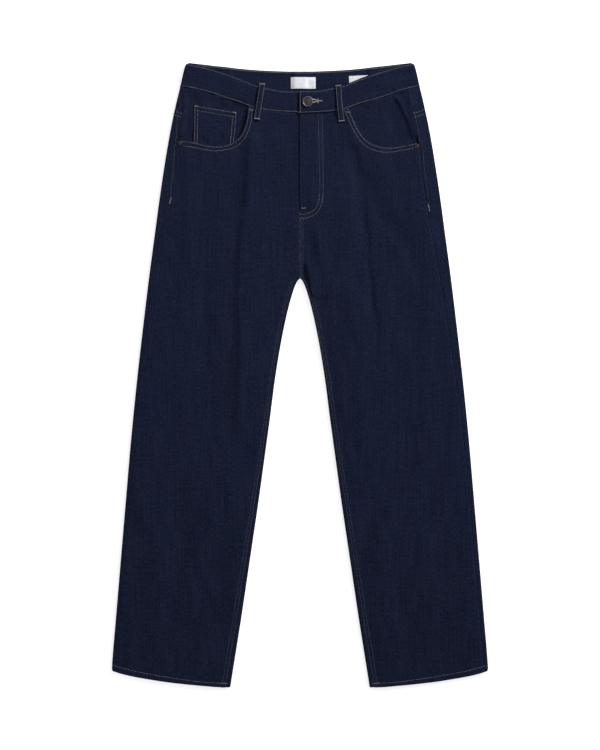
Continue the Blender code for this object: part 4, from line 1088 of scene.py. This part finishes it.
def makeYoke(side):
    name = "yoke_" + ("left" if side < 0 else "right")
    gap, half, r = laid["seamGap"] / 2, laid["cloth"] / 2, laid["foldRadius"]
    strip = [walk(mirrored(yoke["sideRow"][side], side), 1.5)]
    topFace = grooved(overHeight, strip)
    s = np.linspace(0, 1, yoke["rows"])
    columns, grains = [], []
    for share, inset, z, arc in foldColumns(r, np.linspace(0, 1, yoke["stripColumns"], endpoint=False)):
        if inset is None:
            reach = stripReach(side, share)
            at, low = float(reach(laid["bandFootY"])), float(reach(laid["yokeEdgeY"]))
        else:
            reach, at, low = inset, inset, inset
        onTop = z is None or z >= r
        line = frontBandSeam[side] if onTop else backBandSeam
        top = mix(laid["bandFootY"], float(line(laid["bandFoot"] - at)), float(ease(at / r)))
        foot = laid["yokeEdgeY"] - 0.3 * low
        if not onTop:
            foot = mix(laid["yokeEdgeY"], float(yokeSeam(206.5 - low)), float(ease(low / r)))
        y = mix(top - gap - half, foot + gap + half, s)
        spots, grain = foldColumn(side, y, reach, z, arc, topFace)
        columns.append(spots)
        grains.append(grain)
    rows, grain = np.stack(columns, 1), np.stack(grains, 1)
    outside = rows[:, -1, :2] * [side, 1]
    topX = evenSteps(gap + half, outside[0, 0], 4.0)
    top = np.column_stack((topX, backBandSeam(topX) - gap - half))
    top[-1] = outside[0]
    lowX = evenSteps(outside[-1, 0], gap + half, 4.0)
    low = np.column_stack((lowX, yokeSeam(lowX) + gap + half))
    loop = mirrored(closedLoop(top, outside, low[1:], walk([low[-1], top[0]], 4.0, False)[1:]), side)
    plan, faces = fillPlan(loop, (), 3.6)
    z = underHeight(plan[:, 0], plan[:, 1])
    parts = [gridPart(rows, grain, side > 0), underPart(side, plan, z, faces)]
    points, faces, grain = joinParts(parts)
    piece = clothPiece(name, points, faces, laid["cloth"], grain, [denimFace, denimReverse])
    sewOn(strip, topFace, 1, 0.12, dimRows)
    return piece


waistband = {
    "underEnd": 32.0,
    "overEnd": -2.4,
    "tall": 36.0,
    "columnSpacing": 1.7,
    "rowPlaces": [0, 0.02, 0.05, 0.08, 0.12, 0.18, 0.26, 0.35, 0.44,
                  0.53, 0.62, 0.71, 0.79, 0.86, 0.91, 0.94, 0.97, 1],
    "topRow": 2.6,  # rows of sewing in from each edge
    "footRow": 1.9,
    "puff": 0.35,
}
button = {
    "at": (12.7, 450.0),
    "rings": [(0, 9.0), (7.4, 9.0), (8.2, 9.25), (8.6, 9.8), (8.7, 10.4), (8.6, 11.0), (8.2, 11.4), (7.7, 11.5),
              (7.2, 11.3), (6.9, 10.8), (6.6, 10.55), (6.0, 10.6), (4.6, 10.95), (2.6, 11.15), (0, 11.2)],
    "shank": [(0, 6.4), (3.0, 6.4), (3.1, 6.6), (3.1, 9.1), (0, 9.1)],
}


def makeWaistband():
    gap, half, r = laid["seamGap"] / 2, laid["bandWall"] / 2, laid["bandFoldRadius"]
    places = np.array(waistband["rowPlaces"])
    topX, footX = laid["bandTop"] - r, laid["bandFoot"] - r
    tall = waistband["tall"]

    def section(grainX):  # dents at the sewing, a soft swell between, small gathers at the lower seam
        down = places * tall
        dent = np.exp(-(((down - waistband["topRow"]) / 1.1) ** 2))
        dent = dent + np.exp(-(((tall - down - waistband["footRow"]) / 1.1) ** 2))
        swell = waistband["puff"] * np.sin(math.pi * np.clip((down - 2.6) / (tall - 4.5), 0, 1))
        gather = 0.28 * ripples(grainX, 0.0, 17.0, 60.0, 41) * ease((down - 14) / 16)
        gather = gather + 0.2 * ripples(grainX, 0.0, 26.0, 60.0, 42)
        return swell + gather - 0.3 * dent

    def front(side, t, start):
        x = mix(mix(start, topX, t), mix(start, footX, t), places)
        at = np.abs(x)
        y = mix(frontTop(at) - half, frontBandSeam[side](at) + gap + half, places)
        z = bandHeight(side, x) + section(side * x.mean()) * ease((186 - at.mean()) / 12)
        if side > 0:  # pulled in under the button
            z = z - 0.5 * np.exp(-((((x - button["at"][0]) ** 2 + (y - button["at"][1]) ** 2) / 130.0) ** 2))
        return np.column_stack((side * x, y, z))

    def back(xTop):
        x = xTop * mix(1.0, footX / topX, places * ease((abs(xTop) - 145.0) / (topX - 145.0)))
        y = mix(backTop(np.abs(x)) - half, backBandSeam(np.abs(x)) + gap + half, places)
        z = underHeight(x, y)
        return np.column_stack((x, y, z))

    def fold(side):
        lines = []
        for angle in np.linspace(-math.pi / 2, math.pi / 2, 10):
            inset, z = r - r * math.cos(angle), r + r * math.sin(angle)
            turn = z / (2 * r)
            topY = mix(float(backTop(topX)), float(frontTop(topX)), turn) - half
            line = frontBandSeam[side] if turn > 0.5 else backBandSeam
            footY = mix(laid["bandFootY"], float(line(laid["bandFoot"] - inset)), float(ease(inset / r)))
            y = mix(topY, footY + gap + half, places)
            edge = outerEdge(y)
            edge[0], edge[-1] = laid["bandTop"] + 0.5, laid["bandFoot"]
            lines.append(np.column_stack((side * (edge - inset), y, np.full(len(y), z))))
        return lines

    count = int((topX + waistband["underEnd"]) / waistband["columnSpacing"])
    columns = [front(-1, t, -waistband["underEnd"] + half) for t in np.linspace(0, 1, count)[:-1]]
    columns += fold(-1)[::-1]
    columns += [back(x) for x in np.linspace(-topX, topX, int(2 * topX / 2.0))[1:-1]]
    columns += fold(1)
    count = int((topX - waistband["overEnd"]) / waistband["columnSpacing"])
    columns += [front(1, t, waistband["overEnd"] + half) for t in np.linspace(1, 0, count)[1:]]
    points = np.stack(columns, 0)
    run = np.concatenate(([0.0], np.cumsum(np.linalg.norm(np.diff(points.mean(1), axis=0), axis=1))))
    grain = np.stack((np.repeat(-places[None] * tall, len(run), 0), np.repeat(run[:, None], len(places), 1)), -1)
    faces = gridFaces(*points.shape[:2], True)
    flat, grain = points.reshape(-1, 3), grain.reshape(-1, 2)
    rubbed = 0.45 * np.exp(-((places * tall / 1.2) ** 2))
    rubbed = np.tile(rubbed + 0.35 * np.exp(-(((1 - places) * tall / 1.2) ** 2)), len(run))
    piece = clothPiece("waistband", flat, faces, laid["bandWall"], grain, [denimFace], rubbed)

    def along(share, inward=0.0):  # a row of sewing along the band, on its outer or its inner face
        line = np.array([[np.interp(share, places, column[:, i]) for i in range(3)] for column in columns])
        normal = newellNormals(flat, faces).reshape(points.shape)
        way = np.array([[np.interp(share, places, n[:, i]) for i in range(3)] for n in normal])
        lift = sewing["thread"] / 2 - sewing["sink"] + (0.06 if inward == 0 else 0.3)
        return line + way * (lift if inward == 0 else -inward - lift)

    topShare, footShare = (waistband["topRow"] - 1) / tall, 1 - (waistband["footRow"] - 1) / tall
    stitchRows.extend([along(topShare), along(footShare)])
    chain = 0.4 / tall  # inside, the top row is a chain stitch of two strands
    for share in (topShare - chain, topShare + chain, footShare):
        stitchRows.append(along(share, laid["bandWall"]))
    x = waistband["overEnd"] + 3.0
    end = walk([(x, 466.0), (x, 434.0)], 0.8, False)
    lift = sewing["thread"] / 2 - sewing["sink"] + 0.35
    stitchRows.append(np.column_stack((end, np.full(len(end), float(bandHeight(1, x)) + lift))))
    return piece


pocketFacing = {
    "bag": [(150.0, 367.0), (112.0, 369.0), (84.0, 384.0), (68.0, 408.0)],
    "start": 468.0,
    "foot": 369.0,
}
facingCreases = {  # height, width of the left and right bank, line
    1: [(2.7, 3.2, 12.0, [(152.0, 464.0), (161.0, 453.0), (171.0, 434.0), (179.0, 416.0), (186.0, 386.0)]),
        (0.8, 3.0, 5.0, [(181.0, 462.0), (184.0, 446.0), (188.0, 428.0)]),
        (-0.3, 6.0, 6.0, [(92.0, 440.0), (98.0, 414.0), (106.0, 396.0)])],
    -1: [(0.8, 5.0, 6.0, [(-186.0, 460.0), (-190.0, 425.0), (-193.0, 395.0)]),
         (-0.3, 6.0, 7.0, [(-93.0, 440.0), (-97.0, 418.0), (-104.0, 396.0)])],
}


def facingFace(side, x, y):
    z = facingHeight(side, x, y)
    for height, left, right, line in facingCreases[side]:
        across = x - smoothTable([(py, px) for px, py in line])(y)
        ends = ease((y - line[-1][1]) / 10) * ease((line[0][1] - y) / 12)
        z = z + height * ends * np.exp(-(np.abs(across / np.where(across < 0, left, right)) ** 1.5))
    return z + 0.12 * ripples(x, y, 22, 40, 51)


def makeFacing(side):
    name = "pocket_facing_" + ("left" if side < 0 else "right")
    gap, half = laid["seamGap"] / 2, laid["cloth"] / 2
    y = evenSteps(pocketFacing["start"], pocketFacing["foot"], 2.0)
    seam = np.column_stack(insetFrom(outerEdge, y, sideSeamInset[side](y) + gap))
    seam[0, 1] = float(frontBandSeam[side](seam[0, 0])) - gap
    waistX = evenSteps(62.0, seam[0, 0], 2.0)
    waist = np.column_stack((waistX, frontBandSeam[side](waistX) - gap))
    bag = walk([seam[-1]] + pocketFacing["bag"] + [waist[0]], 2.5, False)
    loop = mirrored(shrunk(closedLoop(waist, seam, bag), half), side)
    plan, faces = fillPlan(loop, (), 1.9)
    z = facingFace(side, plan[:, 0], plan[:, 1])
    points = np.column_stack((plan, z))
    return clothPiece(name, points, faces, laid["cloth"], plan, [denimFace, denimReverse])


coinPocket = {
    "corners": [(-174.5, 444.2), (-103.6, 433.0), (-109.5, 374.0), (-176.0, 374.0)],
    "rows": [
        [(-173.6, 442.6), (-150.0, 439.4), (-128.0, 435.6), (-105.2, 431.6)],
        [(-173.6, 436.4), (-150.0, 432.6), (-128.0, 429.0), (-105.6, 425.4)],
        [(-172.9, 443.0), (-173.4, 410.0), (-174.2, 378.0)],
        [(-168.4, 436.0), (-168.9, 410.0), (-169.6, 377.0)],
        [(-105.4, 431.6), (-107.6, 405.0), (-110.6, 378.0)],
        [(-110.8, 425.6), (-112.6, 405.0), (-115.2, 378.0)],
    ],
    "tacks": [((-173.6, 443.6), (-167.6, 442.6)), ((-111.0, 433.4), (-104.9, 432.2))],
}


def makeCoinPocket():
    half = laid["coinWall"] / 2
    corners = coinPocket["corners"]
    loop = closedLoop(*[walk([a, b], 1.6, False) for a, b in zip(corners, corners[1:] + corners[:1])])
    loop = shrunk(loop, half)
    rows = [walk(line, 1.5) for line in coinPocket["rows"]]

    def plain(x, y):
        swell = 0.4 * np.exp(-(((x + 139) / 24) ** 2) - (((y - 408) / 20) ** 2))
        return facingFace(-1, x, y) + 0.3 + laid["coinWall"] + swell + 0.18 * ripples(x, y, 14, 20, 61)

    height = grooved(plain, rows)
    plan, faces = fillPlan(loop, rows, 2.0, 1.1)
    points = np.column_stack((plan, height(plan[:, 0], plan[:, 1])))
    rubbed = 0.45 * np.exp(-((rimDistance(loop, plan[:, 0], plan[:, 1]) / 1.5) ** 2))
    wall = laid["coinWall"]
    piece = clothPiece("coin_pocket", points, faces, wall, plan, [denimFace], rubbed)
    sewOn(rows, height)
    for start, end in coinPocket["tacks"]:
        tackOn(start, end, height, 1.6)
    return piece


def makeBackPocket(side):
    name = "back_pocket_" + ("left" if side < 0 else "right")
    outline = backPocketLine(side)
    loop = closedLoop(*[walk([a, b], 2.4, False) for a, b in zip(outline, np.roll(outline, -1, axis=0))])
    loop = shrunk(loop, laid["cloth"] / 2)
    rows = [np.vstack((shrunk(outline, inset), shrunk(outline, inset)[:1])) for inset in (2.2, 8.2)]
    rows = [walk(line[[1, 2, 3, 4, 5]], 2.0, False) for line in rows]
    rows += [walk(shrunk(outline, inset)[:2], 2.0, False) for inset in (4.0, 12.0)]
    height = grooved(lambda x, y: np.zeros(np.shape(x)), rows, -1)
    plan, faces = fillPlan(loop, rows, 3.2, 1.7, 2.4)
    z = height(plan[:, 0], plan[:, 1])
    points = np.column_stack((plan, z))
    piece = clothPiece(name, points, faces[:, ::-1], laid["cloth"], plan, [denimFace])
    sewOn(rows, height, -1)
    return piece


beltLoop = {
    "half": 5.4,
    "slack": 1.3,
    "front": {-1: ((-62.3, 481.0), (-70.6, 420.0)), 1: ((62.4, 478.2), (68.9, 416.5))},
    "rowIn": 1.7,
}


def makeLoopShell(name, centre, height, under=False):
    # centre: plan line along the loop; height: its outer face
    half, wall = beltLoop["half"], laid["loopWall"]
    across = np.linspace(-half + wall / 2, half - wall / 2, 11)
    swell = np.zeros(len(across))
    if not under:
        dent = np.exp(-(((np.abs(across) - half + beltLoop["rowIn"]) / 0.8) ** 2))
        swell = 0.35 * np.cos(across / half * math.pi / 2) - 0.22 * dent
    rows = []
    for spot, side, z in zip(centre, leftOf(centre), height):
        rows.append(np.column_stack((spot + across[:, None] * side, z + swell)))
    rows = np.stack(rows, 0)
    faces = gridFaces(*rows.shape[:2], not under)
    run = np.concatenate(([0.0], np.cumsum(np.linalg.norm(np.diff(centre, axis=0), axis=1))))
    grain = np.stack((np.repeat(across[None], len(run), 0), -np.repeat(run[:, None], len(across), 1)), -1)
    rubbed = np.tile(0.6 * np.exp(-(((half - np.abs(across)) / 1.4) ** 2)), len(run))
    flat, grain = rows.reshape(-1, 3), grain.reshape(-1, 2)
    piece = clothPiece(name, flat, faces, wall, grain, [denimFace], rubbed)
    lift = sewing["thread"] / 2 - sewing["sink"] + 0.05
    for out in (-half + beltLoop["rowIn"], half - beltLoop["rowIn"]):
        line = np.array([[np.interp(out, across, row[:, i]) for i in range(3)] for row in rows])
        line[:, 2] += -lift if under else lift
        stitchRows.append(line[2:-2])
    return piece, rows


def makeFrontLoop(side):
    name = "belt_loop_front_" + ("left" if side < 0 else "right")
    top, foot = (np.array(p) for p in beltLoop["front"][side])
    t = np.linspace(0, 1, 62)
    centre = top + t[:, None] * (foot - top)
    centre[:, 0] += 0.5 * np.sin(math.pi * t * 1.6 + (0.5 if side < 0 else 1.4))
    x, y = centre.T
    seam = float(frontBandSeam[side](abs(top[0] + foot[0]) / 2))
    low = mix(bandHeight(side, x) + 0.35, frontHeight(side, x, y), ease((seam - 1.0 - y) / 7.0))
    rise = beltLoop["slack"] * ease(t / 0.3) * ease((1.0 - t) / 0.3)
    height = low + laid["seamGap"] + laid["loopWall"] + rise + 0.25 * ripples(y, 0.0, 24, 60, 71 + side)
    piece, rows = makeLoopShell(name, centre, height)
    for i in (2, -3):
        a, b = rows[i, 0], rows[i, -1]
        fine = walk(zigzag(a[:2], b[:2], 1.9, 26), 0.6, smooth=False)
        across = np.linspace(0, np.hypot(*(b - a)[:2]), rows.shape[1])
        z = np.interp(np.hypot(*(fine - a[:2]).T), across, rows[i, :, 2])
        tackRows.append(np.column_stack((fine, z + 0.22)))
    return piece


def makeBackLoop(name, x):
    top = float(backTop(abs(x))) - 1.0
    t = np.linspace(0, 1, 40)
    centre = np.column_stack((np.full(40, x), top - 0.8 - t * (backLoop["length"] - 1.6)))
    piece, rows = makeLoopShell(name, centre, np.zeros(40), under=True)
    for i in (1, -2):
        a, b = rows[i, 0], rows[i, -1]
        fine = walk(zigzag(a[:2], b[:2], 1.9, 26), 0.6, smooth=False)
        tackRows.append(np.column_stack((fine, np.full(len(fine), 0.18))))
    return piece


label = {
    "label_centre": {"centre": (5.2, 481.4), "size": (41.0, 19.0), "turn": 0.0},
    "label_side": {"centre": (96.5, 483.5), "size": (31.0, 20.0), "turn": 0.05},
}
labelWall = 0.7


def makeLabel(name):
    centre, size, turn = (label[name][key] for key in ("centre", "size", "turn"))
    wide, tall = size[0] - labelWall, size[1] - labelWall
    u, v = np.meshgrid(np.linspace(-0.5, 0.5, 42) * wide, np.linspace(0.5, -0.5, 24) * tall)
    x = centre[0] + u * math.cos(turn) - v * math.sin(turn)
    y = centre[1] + u * math.sin(turn) + v * math.cos(turn)
    edge = np.minimum(size[0] / 2 - np.abs(u), size[1] / 2 - np.abs(v))
    z = underHeight(x, y) + laid["bandWall"] + 0.3 + 0.6 + 0.12 * ripples(u, v, 18, 14, 81)
    z = z - 0.2 * np.exp(-(((size[1] / 2 - np.abs(v) - 1.4) / 0.6) ** 2)) + 0.15 * ease(edge / 4)
    rows = np.stack((x, y, z), -1)
    grain = np.stack((u, v), -1).reshape(-1, 2)
    flat, faces = rows.reshape(-1, 3), gridFaces(*rows.shape[:2], True)
    return clothPiece(name, flat, faces, labelWall, grain, [labelCloth])


pieces = {}
for side in (-1, 1):
    word = "left" if side < 0 else "right"
    pieces["front_" + word] = makeFront(side)
    pieces["back_" + word] = makeBack(side)
    pieces["yoke_" + word] = makeYoke(side)
    pieces["pocket_facing_" + word] = makeFacing(side)
    pieces["back_pocket_" + word] = makeBackPocket(side)
    pieces["belt_loop_front_" + word] = makeFrontLoop(side)
    pieces["belt_loop_back_" + word] = makeBackLoop("belt_loop_back_" + word, side * backLoop["sideX"])
    print(f"{word} leg ready")
pieces["belt_loop_back_centre"] = makeBackLoop("belt_loop_back_centre", 0.0)
pieces["waistband"] = makeWaistband()
pieces["coin_pocket"] = makeCoinPocket()
for name in label:
    pieces[name] = makeLabel(name)
print("cloth ready")


def lathe(name, centre, rings, material, steps):
    # rings: (radius, height) from the lower pole to the upper one
    points, faces = [], []
    for radius, z in rings:
        if radius == 0:
            points.append((centre[0], centre[1], z))
            continue
        for i in range(steps):
            angle = 2 * math.pi * i / steps
            points.append((centre[0] + radius * math.cos(angle), centre[1] + radius * math.sin(angle), z))
    last = len(points) - 1
    between = len(rings) - 3
    for i in range(steps):
        j = (i + 1) % steps
        faces.append((0, 1 + j, 1 + i))
        for k in range(between):
            a = 1 + k * steps
            faces.append((a + i, a + j, a + steps + j, a + steps + i))
        a = 1 + between * steps
        faces.append((a + i, a + j, last))
    mesh = bpy.data.meshes.new(name)
    mesh.from_pydata([(x * mm, y * mm, z * mm) for x, y, z in points], [], faces)
    mesh.materials.append(material)
    mesh.polygons.foreach_set("use_smooth", [True] * len(faces))
    mesh.update()
    return newObject(name, mesh)


rivet = {
    "left": (-198.0, 381.8),
    "right": (192.8, 377.0),
    "seat": 0.1,
    "rings": [(0, 0.0), (3.3, 0.0), (3.6, 0.3), (3.55, 0.8), (3.2, 1.15), (2.6, 1.25), (2.2, 1.05), (1.9, 1.0),
              (1.5, 1.25), (0.9, 1.5), (0, 1.6)],
}
buttonPiece = lathe("button_metal", button["at"], button["rings"], bronze, 72)
shank = lathe("button_shank", button["at"], button["shank"], bronze, 28)
rivetPieces = {}
for side, word in ((-1, "left"), (1, "right")):
    x, y = rivet[word]
    base = float(frontHeight(side, np.array([x]), np.array([y]))[0]) + rivet["seat"]
    rings = [(radius, z + base) for radius, z in rivet["rings"]]
    rivetPieces[word] = lathe("rivet_" + word + "_metal", (x, y), rings, copper, 40)

buttonhole = {
    "eye": (22.6, 451.3),
    "eyeRadius": 2.1,
    "end": 36.8,
    "half": 1.3,
    "width": 1.7,
    "pitch": 0.44,
    "bar": 29.6,
}


def sewButtonhole():
    eyeX, y = buttonhole["eye"]
    end, half = buttonhole["end"], buttonhole["half"]
    turn = np.linspace(0.75, 2 * math.pi - 0.75, 30)
    radius = buttonhole["eyeRadius"] + 0.5
    eye = np.column_stack((eyeX + radius * np.cos(turn), y + radius * np.sin(turn)))
    path = walk([(end, y + 0.1), (end - 6, y + half * 0.6), (eyeX + 4, y + half)], 0.5, False)
    low = (path * [1, -1] + [0, 2 * y])[::-1]
    path = walk(np.vstack((path, eye, low)), buttonhole["pitch"], False)
    sign = np.where(np.arange(len(path)) % 2 == 0, 1, -1)[:, None]
    width = buttonhole["width"] * (0.35 + 0.65 * ease((end - path[:, :1]) / 9.0))
    loops = path + sign * leftOf(path) * width / 2
    bar = zigzag((buttonhole["bar"], y + 4.4), (buttonhole["bar"], y - 4.4), 0.9, 20)
    for line, lift in ((loops, 0.2), (bar, 0.45)):
        fine = walk(line, 0.5, False)
        z = bandHeight(1, fine[:, 0]) + waistband["puff"] + lift
        holeRows.append(np.column_stack((fine, z)))


sewButtonhole()


def nodeTree(name, inputs, build):  # a geometry tree with named inputs, built by a function
    tree = bpy.data.node_groups.new(name, "GeometryNodeTree")
    tree.interface.new_socket(name="Geometry", in_out="INPUT", socket_type="NodeSocketGeometry")
    for label, kind, value in inputs:
        socket = tree.interface.new_socket(name=label, in_out="INPUT", socket_type="NodeSocket" + kind)
        if value is not None:
            socket.default_value = value
    tree.interface.new_socket(name="Geometry", in_out="OUTPUT", socket_type="NodeSocketGeometry")
    nodes = Nodes(tree)
    start, end = nodes.add("NodeGroupInput"), nodes.add("NodeGroupOutput")
    nodes.link(build(nodes, start.outputs), end.inputs["Geometry"])
    return tree


def dressed(nodes, instances, material, smooth=True):  # realized, shaded and given its material
    real = nodes.put(nodes.add("GeometryNodeRealizeInstances"), Geometry=instances)
    if smooth:
        real = nodes.put(nodes.add("GeometryNodeSetShadeSmooth"), Geometry=real.outputs[0])
    finish = nodes.add("GeometryNodeSetMaterial")
    return nodes.put(finish, Geometry=real.outputs[0], Material=material).outputs[0]


def stitchNodes(nodes, given):  # short lengths of thread end to end along each line, a little uneven
    curve = nodes.put(nodes.add("GeometryNodeMeshToCurve"), Mesh=given["Geometry"]).outputs[0]
    spots = nodes.add("GeometryNodeCurveToPoints", mode="LENGTH")
    nodes.put(spots, Curve=curve, Length=given["Pitch"])
    turn = nodes.add("FunctionNodeAlignRotationToVector", axis="X")
    nodes.put(turn, Vector=spots.outputs["Tangent"])
    uneven = nodes.add("FunctionNodeRandomValue", data_type="FLOAT")
    limits = [s for s in uneven.inputs if s.enabled and s.name in ("Min", "Max")]
    for socket, value in zip(limits, (0.86, 1.04)):
        socket.default_value = value
    nodes.link(given["Seed"], [s for s in uneven.inputs if s.name == "Seed"][0])
    chance = [s for s in uneven.outputs if s.enabled][0]
    ball = nodes.add("GeometryNodeMeshUVSphere")
    nodes.put(ball, Segments=7, Rings=5, Radius=0.5)
    size = nodes.add("ShaderNodeCombineXYZ")
    nodes.put(size, X=nodes.maths("MULTIPLY", given["Length"], chance), Y=given["Thread"], Z=given["Thread"])
    placed = nodes.add("GeometryNodeInstanceOnPoints")
    nodes.put(placed, Points=spots.outputs["Points"], Instance=ball.outputs["Mesh"], Scale=size.outputs[0])
    nodes.link(turn.outputs["Rotation"], placed.inputs["Rotation"])
    return dressed(nodes, placed.outputs["Instances"], given["Material"])


def tubeNodes(nodes, given):  # an unbroken thread along each line
    curve = nodes.put(nodes.add("GeometryNodeMeshToCurve"), Mesh=given["Geometry"]).outputs[0]
    ring = nodes.put(nodes.add("GeometryNodeCurvePrimitiveCircle"), Resolution=5, Radius=given["Radius"])
    tube = nodes.add("GeometryNodeCurveToMesh")
    nodes.put(tube, Curve=curve, Profile_Curve=ring.outputs["Curve"], Fill_Caps=True)
    return dressed(nodes, tube.outputs[0], given["Material"])


def toothNodes(nodes, given):  # teeth in two interlocking rows
    curve = nodes.put(nodes.add("GeometryNodeMeshToCurve"), Mesh=given["Geometry"]).outputs[0]
    spots = nodes.add("GeometryNodeCurveToPoints", mode="LENGTH")
    nodes.put(spots, Curve=curve, Length=given["Pitch"])
    box = nodes.put(nodes.add("GeometryNodeMeshCube"), Size=given["Size"])
    placed = nodes.add("GeometryNodeInstanceOnPoints")
    nodes.put(placed, Points=spots.outputs["Points"], Instance=box.outputs["Mesh"])
    return dressed(nodes, placed.outputs["Instances"], given["Material"], smooth=False)


def madeByNodes(name, lines, tree, **settings):  # lines in space in, one plain mesh out
    points, edges = [], []
    for line in lines:
        edges += [(len(points) + i, len(points) + i + 1) for i in range(len(line) - 1)]
        points += (np.asarray(line) * mm).tolist()
    mesh = bpy.data.meshes.new(name + "Lines")
    mesh.from_pydata(points, edges, [])
    carrier = newObject(name + "Lines", mesh)
    modifier = carrier.modifiers.new("made", "NODES")
    modifier.node_group = tree
    for item in tree.interface.items_tree:
        if item.item_type == "SOCKET" and item.in_out == "INPUT" and item.name in settings:
            modifier[item.identifier] = settings[item.name]
    bpy.context.view_layer.update()
    made = bpy.data.meshes.new_from_object(carrier.evaluated_get(bpy.context.evaluated_depsgraph_get()))
    made.name = name
    bpy.data.objects.remove(carrier)
    print(f"{name}: {len(lines)} lines, {len(made.polygons)} faces")
    return newObject(name, made)


stitchTree = nodeTree("stitches", [("Pitch", "Float", 0.003), ("Length", "Float", 0.003),
                                   ("Thread", "Float", 0.0006), ("Seed", "Int", 0),
                                   ("Material", "Material", None)], stitchNodes)
tubeTree = nodeTree("threads", [("Radius", "Float", 0.0003), ("Material", "Material", None)], tubeNodes)
toothTree = nodeTree("teeth", [("Pitch", "Float", 0.002), ("Size", "Vector", (0.001, 0.001, 0.001)),
                               ("Material", "Material", None)], toothNodes)

overRows = [line for line in stitchRows if line[:, 2].mean() > laid["foldRadius"]]
underSideRows = [line for line in stitchRows if line[:, 2].mean() <= laid["foldRadius"]]
stitching = {
    "Pitch": (sewing["stitch"] + sewing["gap"]) * mm,
    "Length": sewing["stitch"] * mm * 1.12,
    "Thread": sewing["thread"] * mm,
    "Seed": 5,
    "Material": threadTan,
}
stitchesOver = madeByNodes("stitches_over", overRows, stitchTree, **stitching)
stitchesUnder = madeByNodes("stitches_under", underSideRows, stitchTree, **stitching)
stitching["Material"] = threadDim
stitchesDim = madeByNodes("stitches_inside_leg", dimRows, stitchTree, **stitching)
tacks = madeByNodes("bar_tacks", tackRows, tubeTree, Radius=0.0003, Material=threadTack)
holeThread = madeByNodes("buttonhole_thread", holeRows, tubeTree, Radius=0.00028, Material=threadCream)

zipLook = {
    "chainX": 11.4,
    "top": 425.0,
    "foot": 297.0,
    "pitch": 3.0,
    "tooth": (0.0030, 0.0011, 0.0011),  # in metres
    "offset": 0.7,
}
chain = []
for sign, start in ((-1, 0.0), (1, zipLook["pitch"] / 2)):
    y = evenSteps(zipLook["top"] - start, zipLook["foot"] - start, zipLook["pitch"])
    x = np.full(len(y), zipLook["chainX"] + sign * zipLook["offset"])
    z = overHeight(x, y) - 1.75
    chain.append(np.column_stack((x, y, z)))
toothing = {"Pitch": zipLook["pitch"] * mm, "Size": zipLook["tooth"], "Material": toothMetal}
zipTeeth = madeByNodes("zip_teeth", chain, toothTree, **toothing)
print("sewing ready")

stage = {"floorHalf": 6.0, "drop": 0.4, "world": 0.42, "cameraHeight": 3.4375, "lens": 100.0}
floorMaterial, floorNodes, floorShader = newMaterial("pale", Roughness=0.9, Specular_IOR_Level=0.1)
floorNodes.put(floorShader, Base_Color=(0.94, 0.94, 0.94, 1.0))
floorNodes.put(floorShader, Emission_Color=(1, 1, 1, 1), Emission_Strength=0.6)
floorMesh = bpy.data.meshes.new("floor")
h, z = stage["floorHalf"], -stage["drop"] * mm
floorMesh.from_pydata([(-h, -h, z), (h, -h, z), (h, h, z), (-h, h, z)], [], [(0, 1, 2, 3)])
floorMesh.materials.append(floorMaterial)
floor = newObject("floor", floorMesh)
floor.visible_diffuse = False  # the white floor doesn't brighten the folded edges

for node, piece in pieces.items():
    declare(piece, [node])
for piece, nodes, slot in (
    (buttonPiece, ["button"], "button_metal"),
    (shank, [], "button_metal"),
    (rivetPieces["left"], ["rivet_left"], "rivet_metal"),
    (rivetPieces["right"], ["rivet_right"], "rivet_metal"),
    (stitchesOver, [], "denim"),
    (stitchesUnder, [], "denim"),
    (stitchesDim, [], "denim"),
    (tacks, [], "denim"),
    (holeThread, [], "denim"),
    (zipTeeth, [], "button_metal"),
):
    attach(piece, "root")
    if nodes:
        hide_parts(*nodes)
for node, material in (("zip_tape", zipTape), ("zip_slider", bronze)):
    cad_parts[node].data.materials.clear()
    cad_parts[node].data.materials.append(material)

world = bpy.data.worlds.new("light")
bpy.context.scene.world = world
world.use_nodes = True
skyNodes = Nodes(world.node_tree)
sky = world.node_tree.nodes["Background"]
upward = skyNodes.add("ShaderNodeSeparateXYZ")
skyNodes.link(skyNodes.add("ShaderNodeTexCoord").outputs["Generated"], upward.inputs[0])
glow = skyNodes.ramp(upward.outputs["Z"], -0.05, 0.1, 0.0, stage["world"])
skyNodes.put(sky, Color=(1, 1, 1, 1), Strength=glow)
waistLamp = {"at": (3.0, 2.9, 2.15), "aim": (-1.05, 0.65, 0.0), "size": 1.1, "power": 76.0, "spread": 90}
light = bpy.data.lights.new("waistRight", "AREA")
light.size, light.energy = waistLamp["size"], waistLamp["power"]
light.spread = math.radians(waistLamp["spread"])
lamp = newObject("waistRight", light)
lamp.location = waistLamp["at"]
lampWay = Vector(waistLamp["aim"]) - Vector(waistLamp["at"])
lamp.rotation_euler = lampWay.to_track_quat("-Z", "Y").to_euler()

bpy.context.scene.view_settings.view_transform = "Standard"
cameraData = bpy.data.cameras.new("camera")
cameraData.lens, cameraData.sensor_width = stage["lens"], 36.0
cameraData.clip_end = 50.0
camera = newObject("camera", cameraData)
camera.location = (0, 0, stage["cameraHeight"])
bpy.context.scene.camera = camera

print("scene ready")
